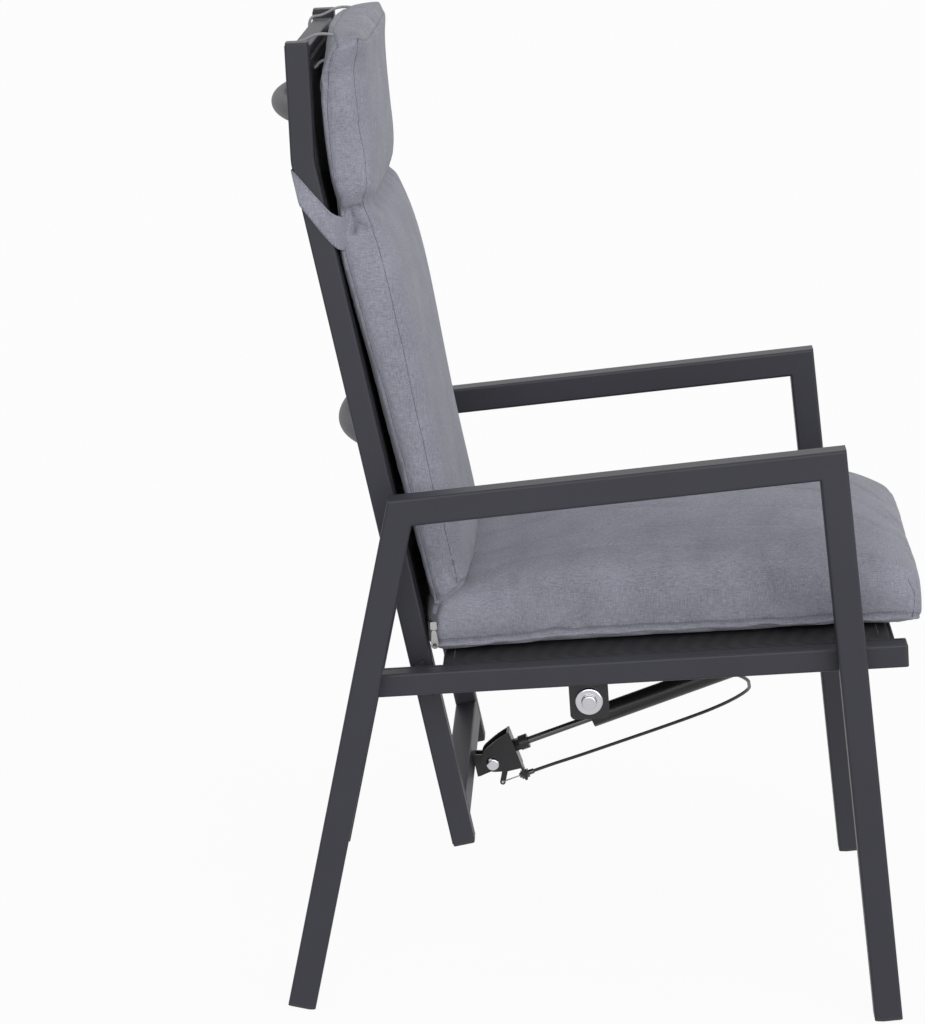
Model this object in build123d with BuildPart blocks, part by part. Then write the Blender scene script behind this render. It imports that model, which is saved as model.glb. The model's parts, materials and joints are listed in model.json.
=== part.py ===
from build123d import *
import math
import os

# Reclining garden armchair, in millimetres.
# The chair faces -Y, +X is the sitter's left, +Z is up, and the floor is Z = 0.
# Profiles are worked out in the chair's centre plane as (forward, up) pairs.
# Forward is counted from the back edge of the rear feet.

# Side frames: square tube, mitred and welded
chair_width = 600.0
leg_tube = 30.0
leg_wall = 1.8
leg_corner = 3.0
arm_front_forward = 581.0
arm_front_height = 628.0
arm_length = 481.0
arm_slope = 7.4
rear_lean = 10.6

# Foot plugs
plug_flange = 3.0
plug_stem = 18.0
plug_clearance = 0.2
plug_tread = 1.2

# Seat rails: tube with a keder channel along the inner top edge
rail_width = 30.0
rail_depth = 25.0
rail_wall = 2.0
rail_corner = 2.5
rail_slope = 4.5
rail_rear_forward = 72.0
rail_rear_height = 341.5
rail_length = 583.0
rail_cap = 4.0

# Keder channel and its bead
keder_bore = 6.0
keder_slot = 2.6
keder_wall = 1.6
keder_inset = 7.0
keder_depth = 5.2
bead_size = 5.0
sling_thickness = 1.2
sling_lift = 0.4
seat_sag = 3.0
back_sag = 6.0

# Seat crossbars
seat_bar = 18.0
seat_bar_wall = 1.6
seat_bar_corner = 2.0
front_bar_inset = 6.0
rear_bar_place = 112.0
middle_bar_place = 450.0
seat_sling_rear_place = 91.0
seat_sling_front_inset = 12.0

# Back frame: two stiles bent near the top, set in from the rails
back_side_gap = 35.0
stile_width = 25.0
stile_depth = 25.0
stile_wall = 1.8
stile_corner = 2.5
stile_foot_forward = 172.7
stile_foot_height = 155.6
back_angle = 13.25
top_angle = 3.1
stile_lower_length = 771.0
stile_upper_length = 126.0
stile_bend = 60.0
stile_cap = 3.0
stile_cap_inset = 0.8

# Back crossbars
top_bar_drop = 9.0
top_bar_depth = 20.0
bow_bar = 22.0
bow_bar_wall = 1.6
bow_depth = 35.0
upper_bow_drop = 78.0
lower_bow_place = 462.0
lower_bar_place = 39.0
back_sling_low = 228.0
back_sling_drop = 35.0

# Recliner pivot
pivot_place = 194.5
pivot_out = 0.4
pivot_bolt = 8.0
pivot_running_gap = 0.05
pivot_side_gap = 0.3
lug_thickness = 7.0
lug_radius = 10.0
lug_foot = 42.0
lug_foot_depth = 5.0
washer_size = 18.0
washer_thickness = 1.4
bracket_plate = 4.0
bracket_length = 40.0
bracket_top = 16.0
bracket_edge = 8.0
bush_wall = 1.2
bush_flange = 1.0
bolt_head = 13.0
bolt_head_height = 5.0

# Gas spring
rod_bolt_forward = 211.0
rod_bolt_height = 193.0
rod_offset = 8.0
front_pin_forward = 520.0
front_pin_height = 324.0
gas_bolt = 8.0
rod_size = 8.0
cylinder_size = 23.0
cylinder_wall = 1.5
cylinder_place = 124.0
guide_length = 9.0
guide_gap = 0.05
eye_size = 19.0
eye_width = 14.0
eye_reach = 22.0
piston_length = 8.0
piston_gap = 0.5

# Front bracket of the gas spring, slotted for the pin's drift
cheek_thickness = 3.0
cheek_gap = 0.4
cheek_radius = 9.0
pin_drift_forward = 4.25
pin_drift_down = 5.3
pin_drift_gap = 0.45

# Lug on the lower back crossbar
lug_cheek = 3.0
lug_inner = 14.0
lug_height = 26.0
lug_end = 9.0

# Fork on the rod's end; its places run along the rod's axis from the bolt, and up from it
fork_plate = 3.0
fork_gap = 0.4
fork_front = 30.0
fork_top = 28.0
fork_bottom = -17.0
fork_heel = -15.0
fork_heel_along = 13.0
fork_crown = 17.4
fork_crown_back = 4.0
fork_back = 11.0
fork_swell = 4.0
fork_tab_bottom = -34.0
fork_tab_width = 14.0
dome_size = 15.0
dome_height = 5.0
dome_edge = 3.0

# Release head, pin, lever and cable adjuster
head_size = 17.0
head_length = 10.0
head_nut = 13.0
head_nut_length = 6.0
rod_into_fork = 4.0
release_pin = 4.0
release_pin_length = 15.0
release_pin_travel = 1.0
lever_thickness = 3.0
lever_width = 6.4
lever_gap = 0.3
lever_pin = 4.0
lever_pin_along = 14.3
lever_pin_up = 16.9
lever_knee_along = 17.0
lever_knee_up = -2.0
lever_hook_along = 1.0
adjuster_up = -28.3
adjuster_size = 6.0
adjuster_bore = 3.0
adjuster_back = 5.0
adjuster_front = 9.0
adjuster_nut = 9.0
adjuster_nut_length = 3.0

# Push button on the right seat rail
button_place = 246.0
button_drop = 20.0
button_plate_width = 42.0
button_plate_drop = 40.5
button_plate = 3.0
button_plate_corner = 6.0
button_plate_inset = 13.0
bezel_size = 30.0
bezel_height = 5.0
bezel_edge = 2.5
plunger_size = 16.0
plunger_height = 6.0
plunger_gap = 0.3
button_travel = 5.0
housing_size = 21.0
housing_length = 20.0
housing_gap = 0.2
housing_floor = 2.5
housing_nut = 26.0
housing_nut_height = 4.0

# Release cable: its route is chosen by hand, as (sideways, forward, up); sideways is counted
# from the button's nozzle at first, and then from the chair's middle
cable_size = 5.0
wire_size = 1.6
barrel_size = 3.0
barrel_gap = 0.1
cable_nozzle = 9.0
cable_nozzle_length = 6.0
cable_exit = 25.0
cable_lead = 23.0
cable_share = 0.45
cable_by_button = (
    (41.0, 336.0, 344.0),
    (49.0, 386.0, 350.0),
    (55.0, 440.0, 354.0),
    (71.0, 492.0, 344.0),
)
cable_by_middle = (
    (100.0, 498.0, 311.0),
    (64.0, 467.0, 281.0),
    (42.0, 412.0, 252.0),
    (24.0, 358.0, 226.0),
    (8.0, 305.0, 201.0),
)

# Seat cushion: places along the rail, and its width, boxing and crown at each of them
seat_cushion_side_gap = 30.0
seat_cushion_rear = 78.0
seat_cushion_length = 528.0
seat_cushion_lift = 4.0
seat_boxing = 66.0
seat_crown = 16.0
seat_shoulder = 92.0
seat_step = 46.0
seat_rear_boxing = 46.0
seat_step_boxing = 58.0
seat_rear_crown = 3.0
seat_step_crown = 7.0
seat_front_crown = 3.0
seat_front_easing = 30.0
cushion_gap = 0.3
cushion_draw = 8.0
cushion_bulge = 4.0

# Back cushion: places up the stile, and depths in front of the stile's face
back_foot_rear = 274.0
back_foot_front = 284.5
boxing_low = 14.0
boxing_high = 54.0
back_crown = 15.0
back_end_crown = 6.0
back_easing = 50.0
waist_drop = 191.0
waist_draw = 11.0
waist_low = 13.0
waist_high = 44.0
waist_crown = 4.0
head_rise = 37.0
head_low = 11.0
head_high = 55.0
head_crown = 11.0
head_easing = 34.0

# Strap that ties the cushion's waist to the stiles, and the elastic loops at its top
strap_width = 28.0
strap_thickness = 1.6
strap_gap = 0.3
strap_front_drop = 19.0
strap_front_out = 39.0
strap_rear_rise = 43.0
elastic_size = 4.0
elastic_gap = 0.4
elastic_bend = 5.0
elastic_inset = 30.0
elastic_rise = 8.0

# Slider of the seat cushion's zip, at the rear right corner
slider_length = 9.0
slider_width = 7.0
slider_thickness = 3.5
slider_gap = 0.8
slider_place = 5.0
slider_height = 32.0
pull_length = 14.0
pull_top = 2.6
pull_end = 4.2
pull_hole = 4.4
pull_thickness = 1.2
pull_gap = 0.3

OVERRUN = 60.0
ACROSS = Vector(1, 0, 0)
SIDES = (("right", -1), ("left", 1))

half_chair = chair_width / 2
rail_outer = half_chair - leg_tube
rail_inner = rail_outer - rail_width
rail_middle = rail_outer - rail_width / 2
stile_outer = rail_inner - back_side_gap
stile_inner = stile_outer - stile_width
stile_middle = stile_outer - stile_width / 2


def pair(forward, up):
    """A place or a direction in the centre plane, forward and up."""
    return Vector(forward, up)


def lean(angle):
    """Unit pairs for a member that leans back by angle: along it, and out of its front face."""
    turn = math.radians(angle)
    return pair(-math.sin(turn), math.cos(turn)), pair(math.cos(turn), math.sin(turn))


def space(place, lateral=0.0):
    """The point in space of a pair, lateral to the sitter's left."""
    return Vector(lateral, chair_centre - place.X, place.Y)


def heading(direction):
    """The direction in space of a pair."""
    return Vector(0, -direction.X, direction.Y)


def side_plane(place, lateral=0.0, along=None):
    """A plane across the chair: local x runs along the given pair, local y up, facing the sitter's right."""
    forward = heading(along if along else pair(1, 0))
    return Plane(origin=space(place, lateral), x_dir=forward, z_dir=-ACROSS)


def cut_plane(place, keep):
    """A plane across the side view whose kept side is the way of the pair keep."""
    return Plane(origin=space(place), z_dir=heading(keep))


def meet(first, along_first, second, along_second):
    """Where two lines of the centre plane meet."""
    across = along_first.X * along_second.Y - along_first.Y * along_second.X
    gap = second - first
    share = (gap.X * along_second.Y - gap.Y * along_second.X) / across
    return first + along_first * share


def square_to(direction, toward):
    """The unit pair square to a direction, on the side of toward."""
    normal = pair(-direction.Y, direction.X).normalized()
    return normal if normal.dot(toward) > 0 else -normal


# Side frame layout
arm_turn = math.radians(arm_slope)
arm_along = pair(math.cos(arm_turn), math.sin(arm_turn))
arm_up = pair(-math.sin(arm_turn), math.cos(arm_turn))
arm_front = pair(arm_front_forward, arm_front_height)
arm_rear = arm_front - arm_along * arm_length
front_centre = arm_front - (arm_along + arm_up) * (leg_tube / 2)
rear_turn = math.radians(rear_lean)
rear_up = pair(math.sin(rear_turn), math.cos(rear_turn))
rear_out = pair(math.cos(rear_turn), -math.sin(rear_turn))
rear_line = arm_rear + rear_out * (leg_tube / 2)
rear_centre = meet(rear_line, rear_up, front_centre, arm_along)
rear_mitre = rear_centre - arm_rear

# Feet: the leg ends are cut square and the plug's low edge is worn to a tread
front_foot_height = leg_tube / 2 * math.sin(arm_turn) - plug_tread
front_foot = meet(front_centre, arm_up, pair(0, front_foot_height), pair(1, 0))
rear_foot_height = leg_tube / 2 * math.sin(rear_turn) - plug_tread
rear_foot = meet(rear_centre, rear_up, pair(0, rear_foot_height), pair(1, 0))

# Rail layout
rail_turn = math.radians(rail_slope)
rail_along = pair(math.cos(rail_turn), math.sin(rail_turn))
rail_up = pair(-math.sin(rail_turn), math.cos(rail_turn))
rail_start = pair(rail_rear_forward, rail_rear_height)


def on_rail(along, up):
    """A pair from its distance along the rail and above the rail's bottom."""
    return rail_start + rail_along * along + rail_up * up


# Back frame layout
lower_up, lower_out = lean(back_angle)
upper_up, upper_out = lean(top_angle)
stile_foot = pair(stile_foot_forward, stile_foot_height)
stile_knee = stile_foot + lower_up * stile_lower_length
stile_total = stile_lower_length + stile_upper_length
upper_bow_place = stile_total - upper_bow_drop
back_sling_top = stile_total - back_sling_drop
waist_place = stile_total - waist_drop
head_top = stile_total + head_rise
strap_front_place = waist_place - strap_front_drop
strap_rear_place = waist_place + strap_rear_rise


def on_back(along, out):
    """A pair from its distance up the stile's rear face and out in front of it."""
    if along <= stile_lower_length:
        return stile_foot + lower_up * along + lower_out * out
    return stile_knee + upper_up * (along - stile_lower_length) + upper_out * out


def back_plane(along, out=0.0, lateral=0.0):
    """A plane square to the stile: local x to the sitter's right, local y out of the front face."""
    up = lower_up if along <= stile_lower_length else upper_up
    return Plane(origin=space(on_back(along, out), lateral), x_dir=-ACROSS, z_dir=heading(up))


# Overall length, from the bowed bar at the back to the cushion at the front
seat_cushion_base = rail_depth + sling_lift + sling_thickness - seat_sag + cushion_gap
seat_cushion_front = on_rail(seat_cushion_rear + seat_cushion_length, seat_cushion_base)
chair_rear = on_back(upper_bow_place, stile_depth / 2 - bow_depth - bow_bar / 2).X
chair_centre = (seat_cushion_front.X + chair_rear) / 2

pivot = on_back(pivot_place, pivot_out)
rod_bolt_place = pair(rod_bolt_forward, rod_bolt_height)
front_pin = pair(front_pin_forward, front_pin_height)


def hollow_square(width, depth, corner, wall):
    """A rounded tube section in the open sketch."""
    RectangleRounded(width, depth, corner)
    RectangleRounded(width - 2 * wall, depth - 2 * wall, corner - wall / 2, mode=Mode.SUBTRACT)


def straight_tube(start, end, width, depth, corner, wall, lateral, cuts):
    """A straight tube between two pairs, cut by planes that face the kept side."""
    along = heading(end - start).normalized()
    with BuildPart() as tube:
        with BuildSketch(Plane(origin=space(start, lateral), x_dir=ACROSS, z_dir=along)):
            hollow_square(width, depth, corner, wall)
        extrude(amount=(end - start).length)
        for cut in cuts:
            split(bisect_by=cut, keep=Keep.TOP)
    return tube


def keep(piece, name):
    """Label a finished piece and write its file."""
    piece.part.label = name
    export_step(piece.part, "parts/" + name + ".step")


os.makedirs("parts", exist_ok=True)


# Side frames: armrest, front leg and rear leg, mitred at the corners
for side_name, side in SIDES:
    lateral = side * (half_chair - leg_tube / 2)
    armrest = straight_tube(rear_centre - arm_along * OVERRUN, front_centre + arm_along * OVERRUN,
                            leg_tube, leg_tube, leg_corner, leg_wall, lateral,
                            (cut_plane(arm_rear, square_to(rear_mitre, arm_along)),
                             cut_plane(arm_front, arm_up - arm_along)))
    keep(armrest, side_name + "_armrest")

    front_end = front_foot + arm_up * plug_flange
    front_leg = straight_tube(front_end, front_centre + arm_up * OVERRUN,
                              leg_tube, leg_tube, leg_corner, leg_wall, lateral,
                              (cut_plane(arm_front, arm_along - arm_up),))
    keep(front_leg, side_name + "_front_leg")

    rear_end = rear_foot + rear_up * plug_flange
    rear_leg = straight_tube(rear_end, rear_centre + rear_up * OVERRUN,
                             leg_tube, leg_tube, leg_corner, leg_wall, lateral,
                             (cut_plane(arm_rear, square_to(rear_mitre, -rear_up)),))
    keep(rear_leg, side_name + "_rear_leg")

    for foot_name, foot, leg_up in (("front", front_foot, arm_up), ("rear", rear_foot, rear_up)):
        stem = leg_tube - 2 * leg_wall - 2 * plug_clearance
        foot_plane = Plane(origin=space(foot, lateral), x_dir=ACROSS, z_dir=heading(leg_up))
        with BuildPart() as foot_plug:
            with BuildSketch(foot_plane):
                RectangleRounded(leg_tube, leg_tube, leg_corner)
            extrude(amount=plug_flange)
            with BuildSketch(foot_plane.offset(plug_flange)):
                RectangleRounded(stem, stem, leg_corner - leg_wall / 2)
            extrude(amount=plug_stem)
            split(bisect_by=Plane.XY, keep=Keep.TOP)
        keep(foot_plug, side_name + "_" + foot_name + "_foot")


def keder_section(width, depth, corner, wall, inner_side):
    """A tube section with a keder channel by the inner end of its +y face, in the open sketch."""
    channel_x = inner_side * (width / 2 - keder_inset)
    channel_y = depth / 2 - keder_depth
    hollow_square(width, depth, corner, wall)
    with Locations((channel_x, channel_y)):
        Circle(keder_bore / 2 + keder_wall)
        Circle(keder_bore / 2, mode=Mode.SUBTRACT)
    with Locations((channel_x, channel_y + keder_depth / 2 + wall / 2)):
        Rectangle(keder_slot, keder_depth + wall, mode=Mode.SUBTRACT)


def sling_section(half_span, depth, sag):
    """Fabric between two keder channels whose centres lie half_span from the middle, in the open sketch."""
    face = depth / 2 + sling_lift
    edge = half_span + sling_thickness / 2
    with BuildLine() as outline:
        ThreePointArc((-edge, face), (0, face - sag), (edge, face))
        Line((edge, face), (edge, face + sling_thickness))
        ThreePointArc((edge, face + sling_thickness), (0, face + sling_thickness - sag),
                      (-edge, face + sling_thickness))
        Line((-edge, face + sling_thickness), (-edge, face))
    make_face(outline.edges())
    for end in (-1, 1):
        with Locations((end * half_span, depth / 2 - keder_depth)):
            Circle(bead_size / 2)
        with Locations((end * half_span, (face + depth / 2 - keder_depth) / 2)):
            Rectangle(sling_thickness, face + keder_depth - depth / 2 + sling_thickness / 2)


# Seat rails with their end caps
for side_name, side in SIDES:
    lateral = side * rail_middle
    rail_plane = Plane(origin=space(on_rail(0, rail_depth / 2), lateral), x_dir=ACROSS, z_dir=heading(rail_along))
    with BuildPart() as seat_rail:
        with BuildSketch(rail_plane):
            keder_section(rail_width, rail_depth, rail_corner, rail_wall, -side)
        extrude(amount=rail_length)
    keep(seat_rail, side_name + "_seat_rail")

    for end_name, place, way in (("rear", 0.0, -1), ("front", rail_length, 1)):
        with BuildPart() as rail_cap_piece:
            with BuildSketch(rail_plane.offset(place)):
                RectangleRounded(rail_width, rail_depth, rail_corner)
            extrude(amount=way * rail_cap)
            fillet(rail_cap_piece.faces().sort_by(Axis.Y)[0 if way > 0 else -1].edges(), rail_cap / 2)
        keep(rail_cap_piece, side_name + "_rail_" + end_name + "_cap")


def rail_bar(place):
    """A square crossbar between the rails, flush with their bottoms."""
    centre = space(on_rail(place, seat_bar / 2), -rail_inner)
    with BuildPart() as bar:
        with BuildSketch(Plane(origin=centre, x_dir=heading(rail_along), z_dir=ACROSS)):
            hollow_square(seat_bar, seat_bar, seat_bar_corner, seat_bar_wall)
        extrude(amount=2 * rail_inner)
    return bar


front_bar_place = rail_length - front_bar_inset - seat_bar / 2
keep(rail_bar(front_bar_place), "seat_front_crossbar")
keep(rail_bar(rear_bar_place), "seat_rear_crossbar")
keep(rail_bar(middle_bar_place), "seat_middle_crossbar")

# Seat sling, taut between the rails' keder channels
seat_half_span = rail_inner + keder_inset
seat_sling_length = rail_length - seat_sling_front_inset - seat_sling_rear_place
with BuildPart() as seat_sling:
    with BuildSketch(Plane(origin=space(on_rail(seat_sling_rear_place, rail_depth / 2)),
                           x_dir=ACROSS, z_dir=heading(rail_along))):
        sling_section(seat_half_span, rail_depth, seat_sag)
    extrude(amount=seat_sling_length)
keep(seat_sling, "seat_sling")

# Back stiles, bent once, with a keder channel along the inner front edge
centre_out = stile_depth / 2
stile_top = on_back(stile_total, centre_out)
stile_corner_place = meet(on_back(0, centre_out), lower_up, stile_top, upper_up)
stile_low_end = on_back(stile_cap, centre_out)
stile_top_end = stile_top - upper_up * stile_cap


def back_path(top, low, lateral=0.0):
    """The stile's centre line from a place near its top down to one near its foot, with the bend."""
    with BuildLine() as route:
        FilletPolyline(space(top, lateral), space(stile_corner_place, lateral), space(low, lateral), radius=stile_bend)
    return route.wires()[0]


for side_name, side in SIDES:
    lateral = side * stile_middle
    route = back_path(stile_top_end, stile_low_end, lateral)
    with BuildPart() as stile:
        with BuildSketch(Plane(origin=route @ 0, x_dir=ACROSS, z_dir=route % 0)):
            keder_section(stile_width, stile_depth, stile_corner, stile_wall, -side)
        sweep(path=route)
    keep(stile, side_name + "_stile")

cap_width = stile_width - 2 * stile_cap_inset
cap_depth = stile_depth - 2 * stile_cap_inset
for end_name, place, way in (("top", stile_total - stile_cap, 1), ("bottom", stile_cap, -1)):
    with BuildPart() as stile_caps:
        for side_name, side in SIDES:
            with BuildSketch(back_plane(place, centre_out, side * stile_middle)):
                RectangleRounded(cap_width, cap_depth, stile_corner)
            extrude(amount=way * stile_cap)
    keep(stile_caps, "stile_" + end_name + "_caps")


# Back crossbars
def back_bar(place, depth, width):
    """A square crossbar between the stiles, centred in their depth."""
    up = lower_up if place <= stile_lower_length else upper_up
    centre = space(on_back(place, centre_out), -stile_inner)
    with BuildPart() as bar:
        with BuildSketch(Plane(origin=centre, x_dir=heading(up), z_dir=ACROSS)):
            hollow_square(depth, width, seat_bar_corner, seat_bar_wall)
        extrude(amount=2 * stile_inner)
    return bar


top_bar_place = stile_total - top_bar_drop - top_bar_depth / 2
keep(back_bar(top_bar_place, top_bar_depth, top_bar_depth), "back_top_crossbar")
keep(back_bar(lower_bar_place, stile_depth, stile_depth), "back_lower_crossbar")

for bow_name, place in (("upper", upper_bow_place), ("lower", lower_bow_place)):
    bow_plane = back_plane(place, centre_out)
    flat = Plane(origin=bow_plane.origin, x_dir=ACROSS, z_dir=-bow_plane.z_dir)
    with BuildPart() as bow_bar_piece:
        with BuildLine(flat) as bow_route:
            ThreePointArc((-stile_inner, 0), (0, -bow_depth), (stile_inner, 0))
        with BuildSketch(Plane(origin=bow_route.line @ 0, z_dir=bow_route.line % 0)):
            Circle(bow_bar / 2)
            Circle(bow_bar / 2 - bow_bar_wall, mode=Mode.SUBTRACT)
        sweep(path=bow_route.wires()[0])
        for side in (-1, 1):
            split(bisect_by=Plane(origin=(side * stile_inner, 0, 0), z_dir=(-side, 0, 0)), keep=Keep.TOP)
    keep(bow_bar_piece, "back_" + bow_name + "_bow")

# Back sling, with its beads in the stiles' channels
back_half_span = stile_inner + keder_inset
sling_route = back_path(on_back(back_sling_top, centre_out), on_back(back_sling_low, centre_out))
with BuildPart() as back_sling:
    with BuildSketch(Plane(origin=sling_route @ 0, x_dir=ACROSS, z_dir=sling_route % 0)):
        sling_section(back_half_span, stile_depth, back_sag)
    sweep(path=sling_route)
keep(back_sling, "back_sling")

# Pivot: a bracket under each rail, a bush in it, and a bolt screwed into the stile's lug
bush_bore = pivot_bolt / 2 + pivot_running_gap
bush_outer = bush_bore + bush_wall
lug_inner_face = stile_outer
lug_outer_face = lug_inner_face + lug_thickness
plate_inner_face = lug_outer_face + washer_thickness + 2 * pivot_side_gap
plate_outer_face = plate_inner_face + bracket_plate
bush_outer_face = plate_outer_face + bush_flange
head_face = bush_outer_face + pivot_side_gap
pivot_on_rail = (pivot - rail_start).dot(rail_along)
bracket_top_place = on_rail(pivot_on_rail, bracket_top)

for side_name, side in SIDES:
    plate_plane = side_plane(pivot, side * plate_inner_face, rail_along)
    reach = (bracket_top_place - pivot).dot(rail_up)
    with BuildPart() as pivot_bracket:
        with BuildSketch(plate_plane):
            with Locations((0, reach / 2)):
                Rectangle(2 * bracket_edge, reach)
            with Locations((0, reach - bracket_edge / 2)):
                Rectangle(bracket_length, bracket_edge)
            Circle(bracket_edge)
            Circle(bush_outer, mode=Mode.SUBTRACT)
        extrude(amount=-side * bracket_plate)
        with BuildSketch(plate_plane):
            with Locations((0, reach - bracket_plate / 2)):
                Rectangle(bracket_length, bracket_plate)
        extrude(amount=-side * (rail_inner - plate_inner_face))
    keep(pivot_bracket, side_name + "_pivot_bracket")

    lug_plane = side_plane(pivot, side * lug_inner_face, lower_out)
    lug_middle = stile_depth / 2 - pivot_out
    with BuildPart() as pivot_lug:
        with BuildSketch(lug_plane):
            Circle(lug_radius)
            with Locations((lug_middle + lug_foot_depth / 2, 0)):
                Rectangle(lug_foot_depth, lug_foot)
            make_hull()
            Circle(pivot_bolt / 2, mode=Mode.SUBTRACT)
        extrude(amount=-side * lug_thickness)
    keep(pivot_lug, side_name + "_pivot_lug")

with BuildPart() as pivot_bushes:
    for side_name, side in SIDES:
        bush_plane = side_plane(pivot, side * plate_inner_face)
        with BuildSketch(bush_plane):
            Circle(bush_outer)
            Circle(bush_bore, mode=Mode.SUBTRACT)
        extrude(amount=-side * (bracket_plate + bush_flange))
        with BuildSketch(side_plane(pivot, side * plate_outer_face)):
            Circle(bush_outer + bush_wall)
            Circle(bush_bore, mode=Mode.SUBTRACT)
        extrude(amount=-side * bush_flange)
keep(pivot_bushes, "pivot_bushes")

with BuildPart() as pivot_washers:
    for side_name, side in SIDES:
        with BuildSketch(side_plane(pivot, side * (lug_outer_face + pivot_side_gap))):
            Circle(washer_size / 2)
            Circle(bush_bore, mode=Mode.SUBTRACT)
        extrude(amount=-side * washer_thickness)
keep(pivot_washers, "pivot_washers")

with BuildPart() as pivot_bolts:
    for side_name, side in SIDES:
        with BuildSketch(side_plane(pivot, side * lug_inner_face)):
            Circle(pivot_bolt / 2)
        extrude(amount=-side * (head_face - lug_inner_face))
        with BuildSketch(side_plane(pivot, side * head_face)):
            RegularPolygon(bolt_head / 2, 6, major_radius=False)
        extrude(amount=-side * bolt_head_height)
keep(pivot_bolts, "pivot_bolts")


# Gas spring: its axis passes rod_offset above the bolt and through the front pin
pin_gap = front_pin - rod_bolt_place
axis_turn = math.atan2(pin_gap.Y, pin_gap.X) - math.asin(rod_offset / pin_gap.length)
gas_along = pair(math.cos(axis_turn), math.sin(axis_turn))
gas_up = pair(-math.sin(axis_turn), math.cos(axis_turn))
gas_length = math.sqrt(pin_gap.length ** 2 - rod_offset ** 2)


def on_gas(along, up):
    """A pair from its distance along the gas spring's direction and up, from the rod-end bolt."""
    return rod_bolt_place + gas_along * along + gas_up * up


def gas_plane(along, up=rod_offset):
    """A plane square to the gas spring, facing its front end."""
    return Plane(origin=space(on_gas(along, up)), x_dir=ACROSS, z_dir=heading(gas_along))


cylinder_inner = cylinder_size / 2 - cylinder_wall
cylinder_end = gas_length - eye_reach
with BuildPart() as gas_cylinder:
    with BuildSketch(gas_plane(cylinder_place)):
        Circle(cylinder_size / 2)
    extrude(amount=cylinder_end - cylinder_place)
    fillet(gas_cylinder.edges().filter_by(GeomType.CIRCLE), cylinder_wall / 2)
    with BuildSketch(gas_plane(cylinder_place)):
        Circle(cylinder_inner)
    extrude(amount=cylinder_end - cylinder_place - 2 * cylinder_wall, mode=Mode.SUBTRACT)
    with BuildSketch(gas_plane(cylinder_end - cylinder_wall)):
        Circle(eye_size / 3)
    extrude(amount=eye_reach - eye_size / 3)
    with BuildSketch(side_plane(front_pin)):
        Circle(eye_size / 2)
    extrude(amount=eye_width / 2, both=True)
    with BuildSketch(side_plane(front_pin)):
        Circle(gas_bolt / 2)
    extrude(amount=eye_width, both=True, mode=Mode.SUBTRACT)
keep(gas_cylinder, "gas_cylinder")

with BuildPart() as cylinder_guide:
    with BuildSketch(gas_plane(cylinder_place)):
        Circle(cylinder_inner)
        Circle(rod_size / 2 + guide_gap, mode=Mode.SUBTRACT)
    extrude(amount=guide_length)
keep(cylinder_guide, "cylinder_guide")

rod_rear = fork_front - fork_plate - rod_into_fork
piston_rear = cylinder_place + guide_length + piston_gap
with BuildPart() as gas_rod:
    with BuildSketch(gas_plane(rod_rear)):
        Circle(rod_size / 2)
    extrude(amount=piston_rear + piston_length - rod_rear)
    with BuildSketch(gas_plane(piston_rear)):
        Circle(cylinder_inner - piston_gap)
    extrude(amount=piston_length)
    with BuildSketch(gas_plane(rod_rear)):
        Circle(release_pin / 2 + guide_gap)
    extrude(amount=release_pin_length, mode=Mode.SUBTRACT)
keep(gas_rod, "gas_rod")

# Front bracket: two cheeks on the middle crossbar, slotted for the pin's small drift
middle_bar_bottom = on_rail(middle_bar_place, 0)
cheek_inner = eye_width / 2 + cheek_gap
cheek_outer = cheek_inner + cheek_thickness
bracket_drop = (middle_bar_bottom - front_pin).dot(rail_up)
bar_along = (middle_bar_bottom - front_pin).dot(rail_along)
pin_drift = pair(pin_drift_forward, -pin_drift_down)
drift_turn = math.degrees(math.atan2(-pin_drift_down, pin_drift_forward)) - rail_slope
slot_width = gas_bolt + 2 * pin_drift_gap
with BuildPart() as spring_bracket:
    for side_name, side in SIDES:
        cheek_plane = side_plane(front_pin, side * cheek_inner, rail_along)
        with BuildSketch(cheek_plane):
            with Locations((bar_along, bracket_drop / 2)):
                Rectangle(seat_bar, bracket_drop)
            with Locations(Location((pin_drift.dot(rail_along) / 2, pin_drift.dot(rail_up) / 2), drift_turn)):
                SlotCenterToCenter(pin_drift.length, 2 * cheek_radius)
                SlotCenterToCenter(pin_drift.length, slot_width, mode=Mode.SUBTRACT)
        extrude(amount=-side * cheek_thickness)
    with BuildSketch(Plane(origin=space(middle_bar_bottom), x_dir=ACROSS, z_dir=-heading(rail_up))):
        Rectangle(2 * cheek_outer, seat_bar)
    extrude(amount=cheek_thickness)
keep(spring_bracket, "spring_bracket")

with BuildPart() as spring_pin:
    with BuildSketch(side_plane(front_pin, cheek_outer + cheek_gap)):
        Circle(gas_bolt / 2)
    extrude(amount=2 * (cheek_outer + cheek_gap))
    for side_name, side in SIDES:
        with BuildSketch(side_plane(front_pin, side * (cheek_outer + cheek_gap))):
            RegularPolygon(bolt_head / 2, 6, major_radius=False)
        extrude(amount=-side * bolt_head_height)
keep(spring_pin, "spring_pin")

# Lug on the lower back crossbar, and its bolt
lug_outer = lug_inner / 2 + lug_cheek
lug_reach = (rod_bolt_place - stile_foot).dot(lower_out) - stile_depth
with BuildPart() as rod_lug:
    with BuildSketch(side_plane(rod_bolt_place, 0, lower_out)):
        with Locations((lug_cheek / 2 - lug_reach, 0)):
            Rectangle(lug_cheek, lug_height)
        Circle(lug_end)
        make_hull()
        Circle(gas_bolt / 2, mode=Mode.SUBTRACT)
    extrude(amount=lug_outer, both=True)
    with BuildSketch(side_plane(rod_bolt_place, 0, lower_out)):
        with Locations((lug_cheek, 0)):
            Rectangle(2 * lug_reach, lug_height)
    extrude(amount=lug_inner / 2, both=True, mode=Mode.SUBTRACT)
keep(rod_lug, "rod_lug")

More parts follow.
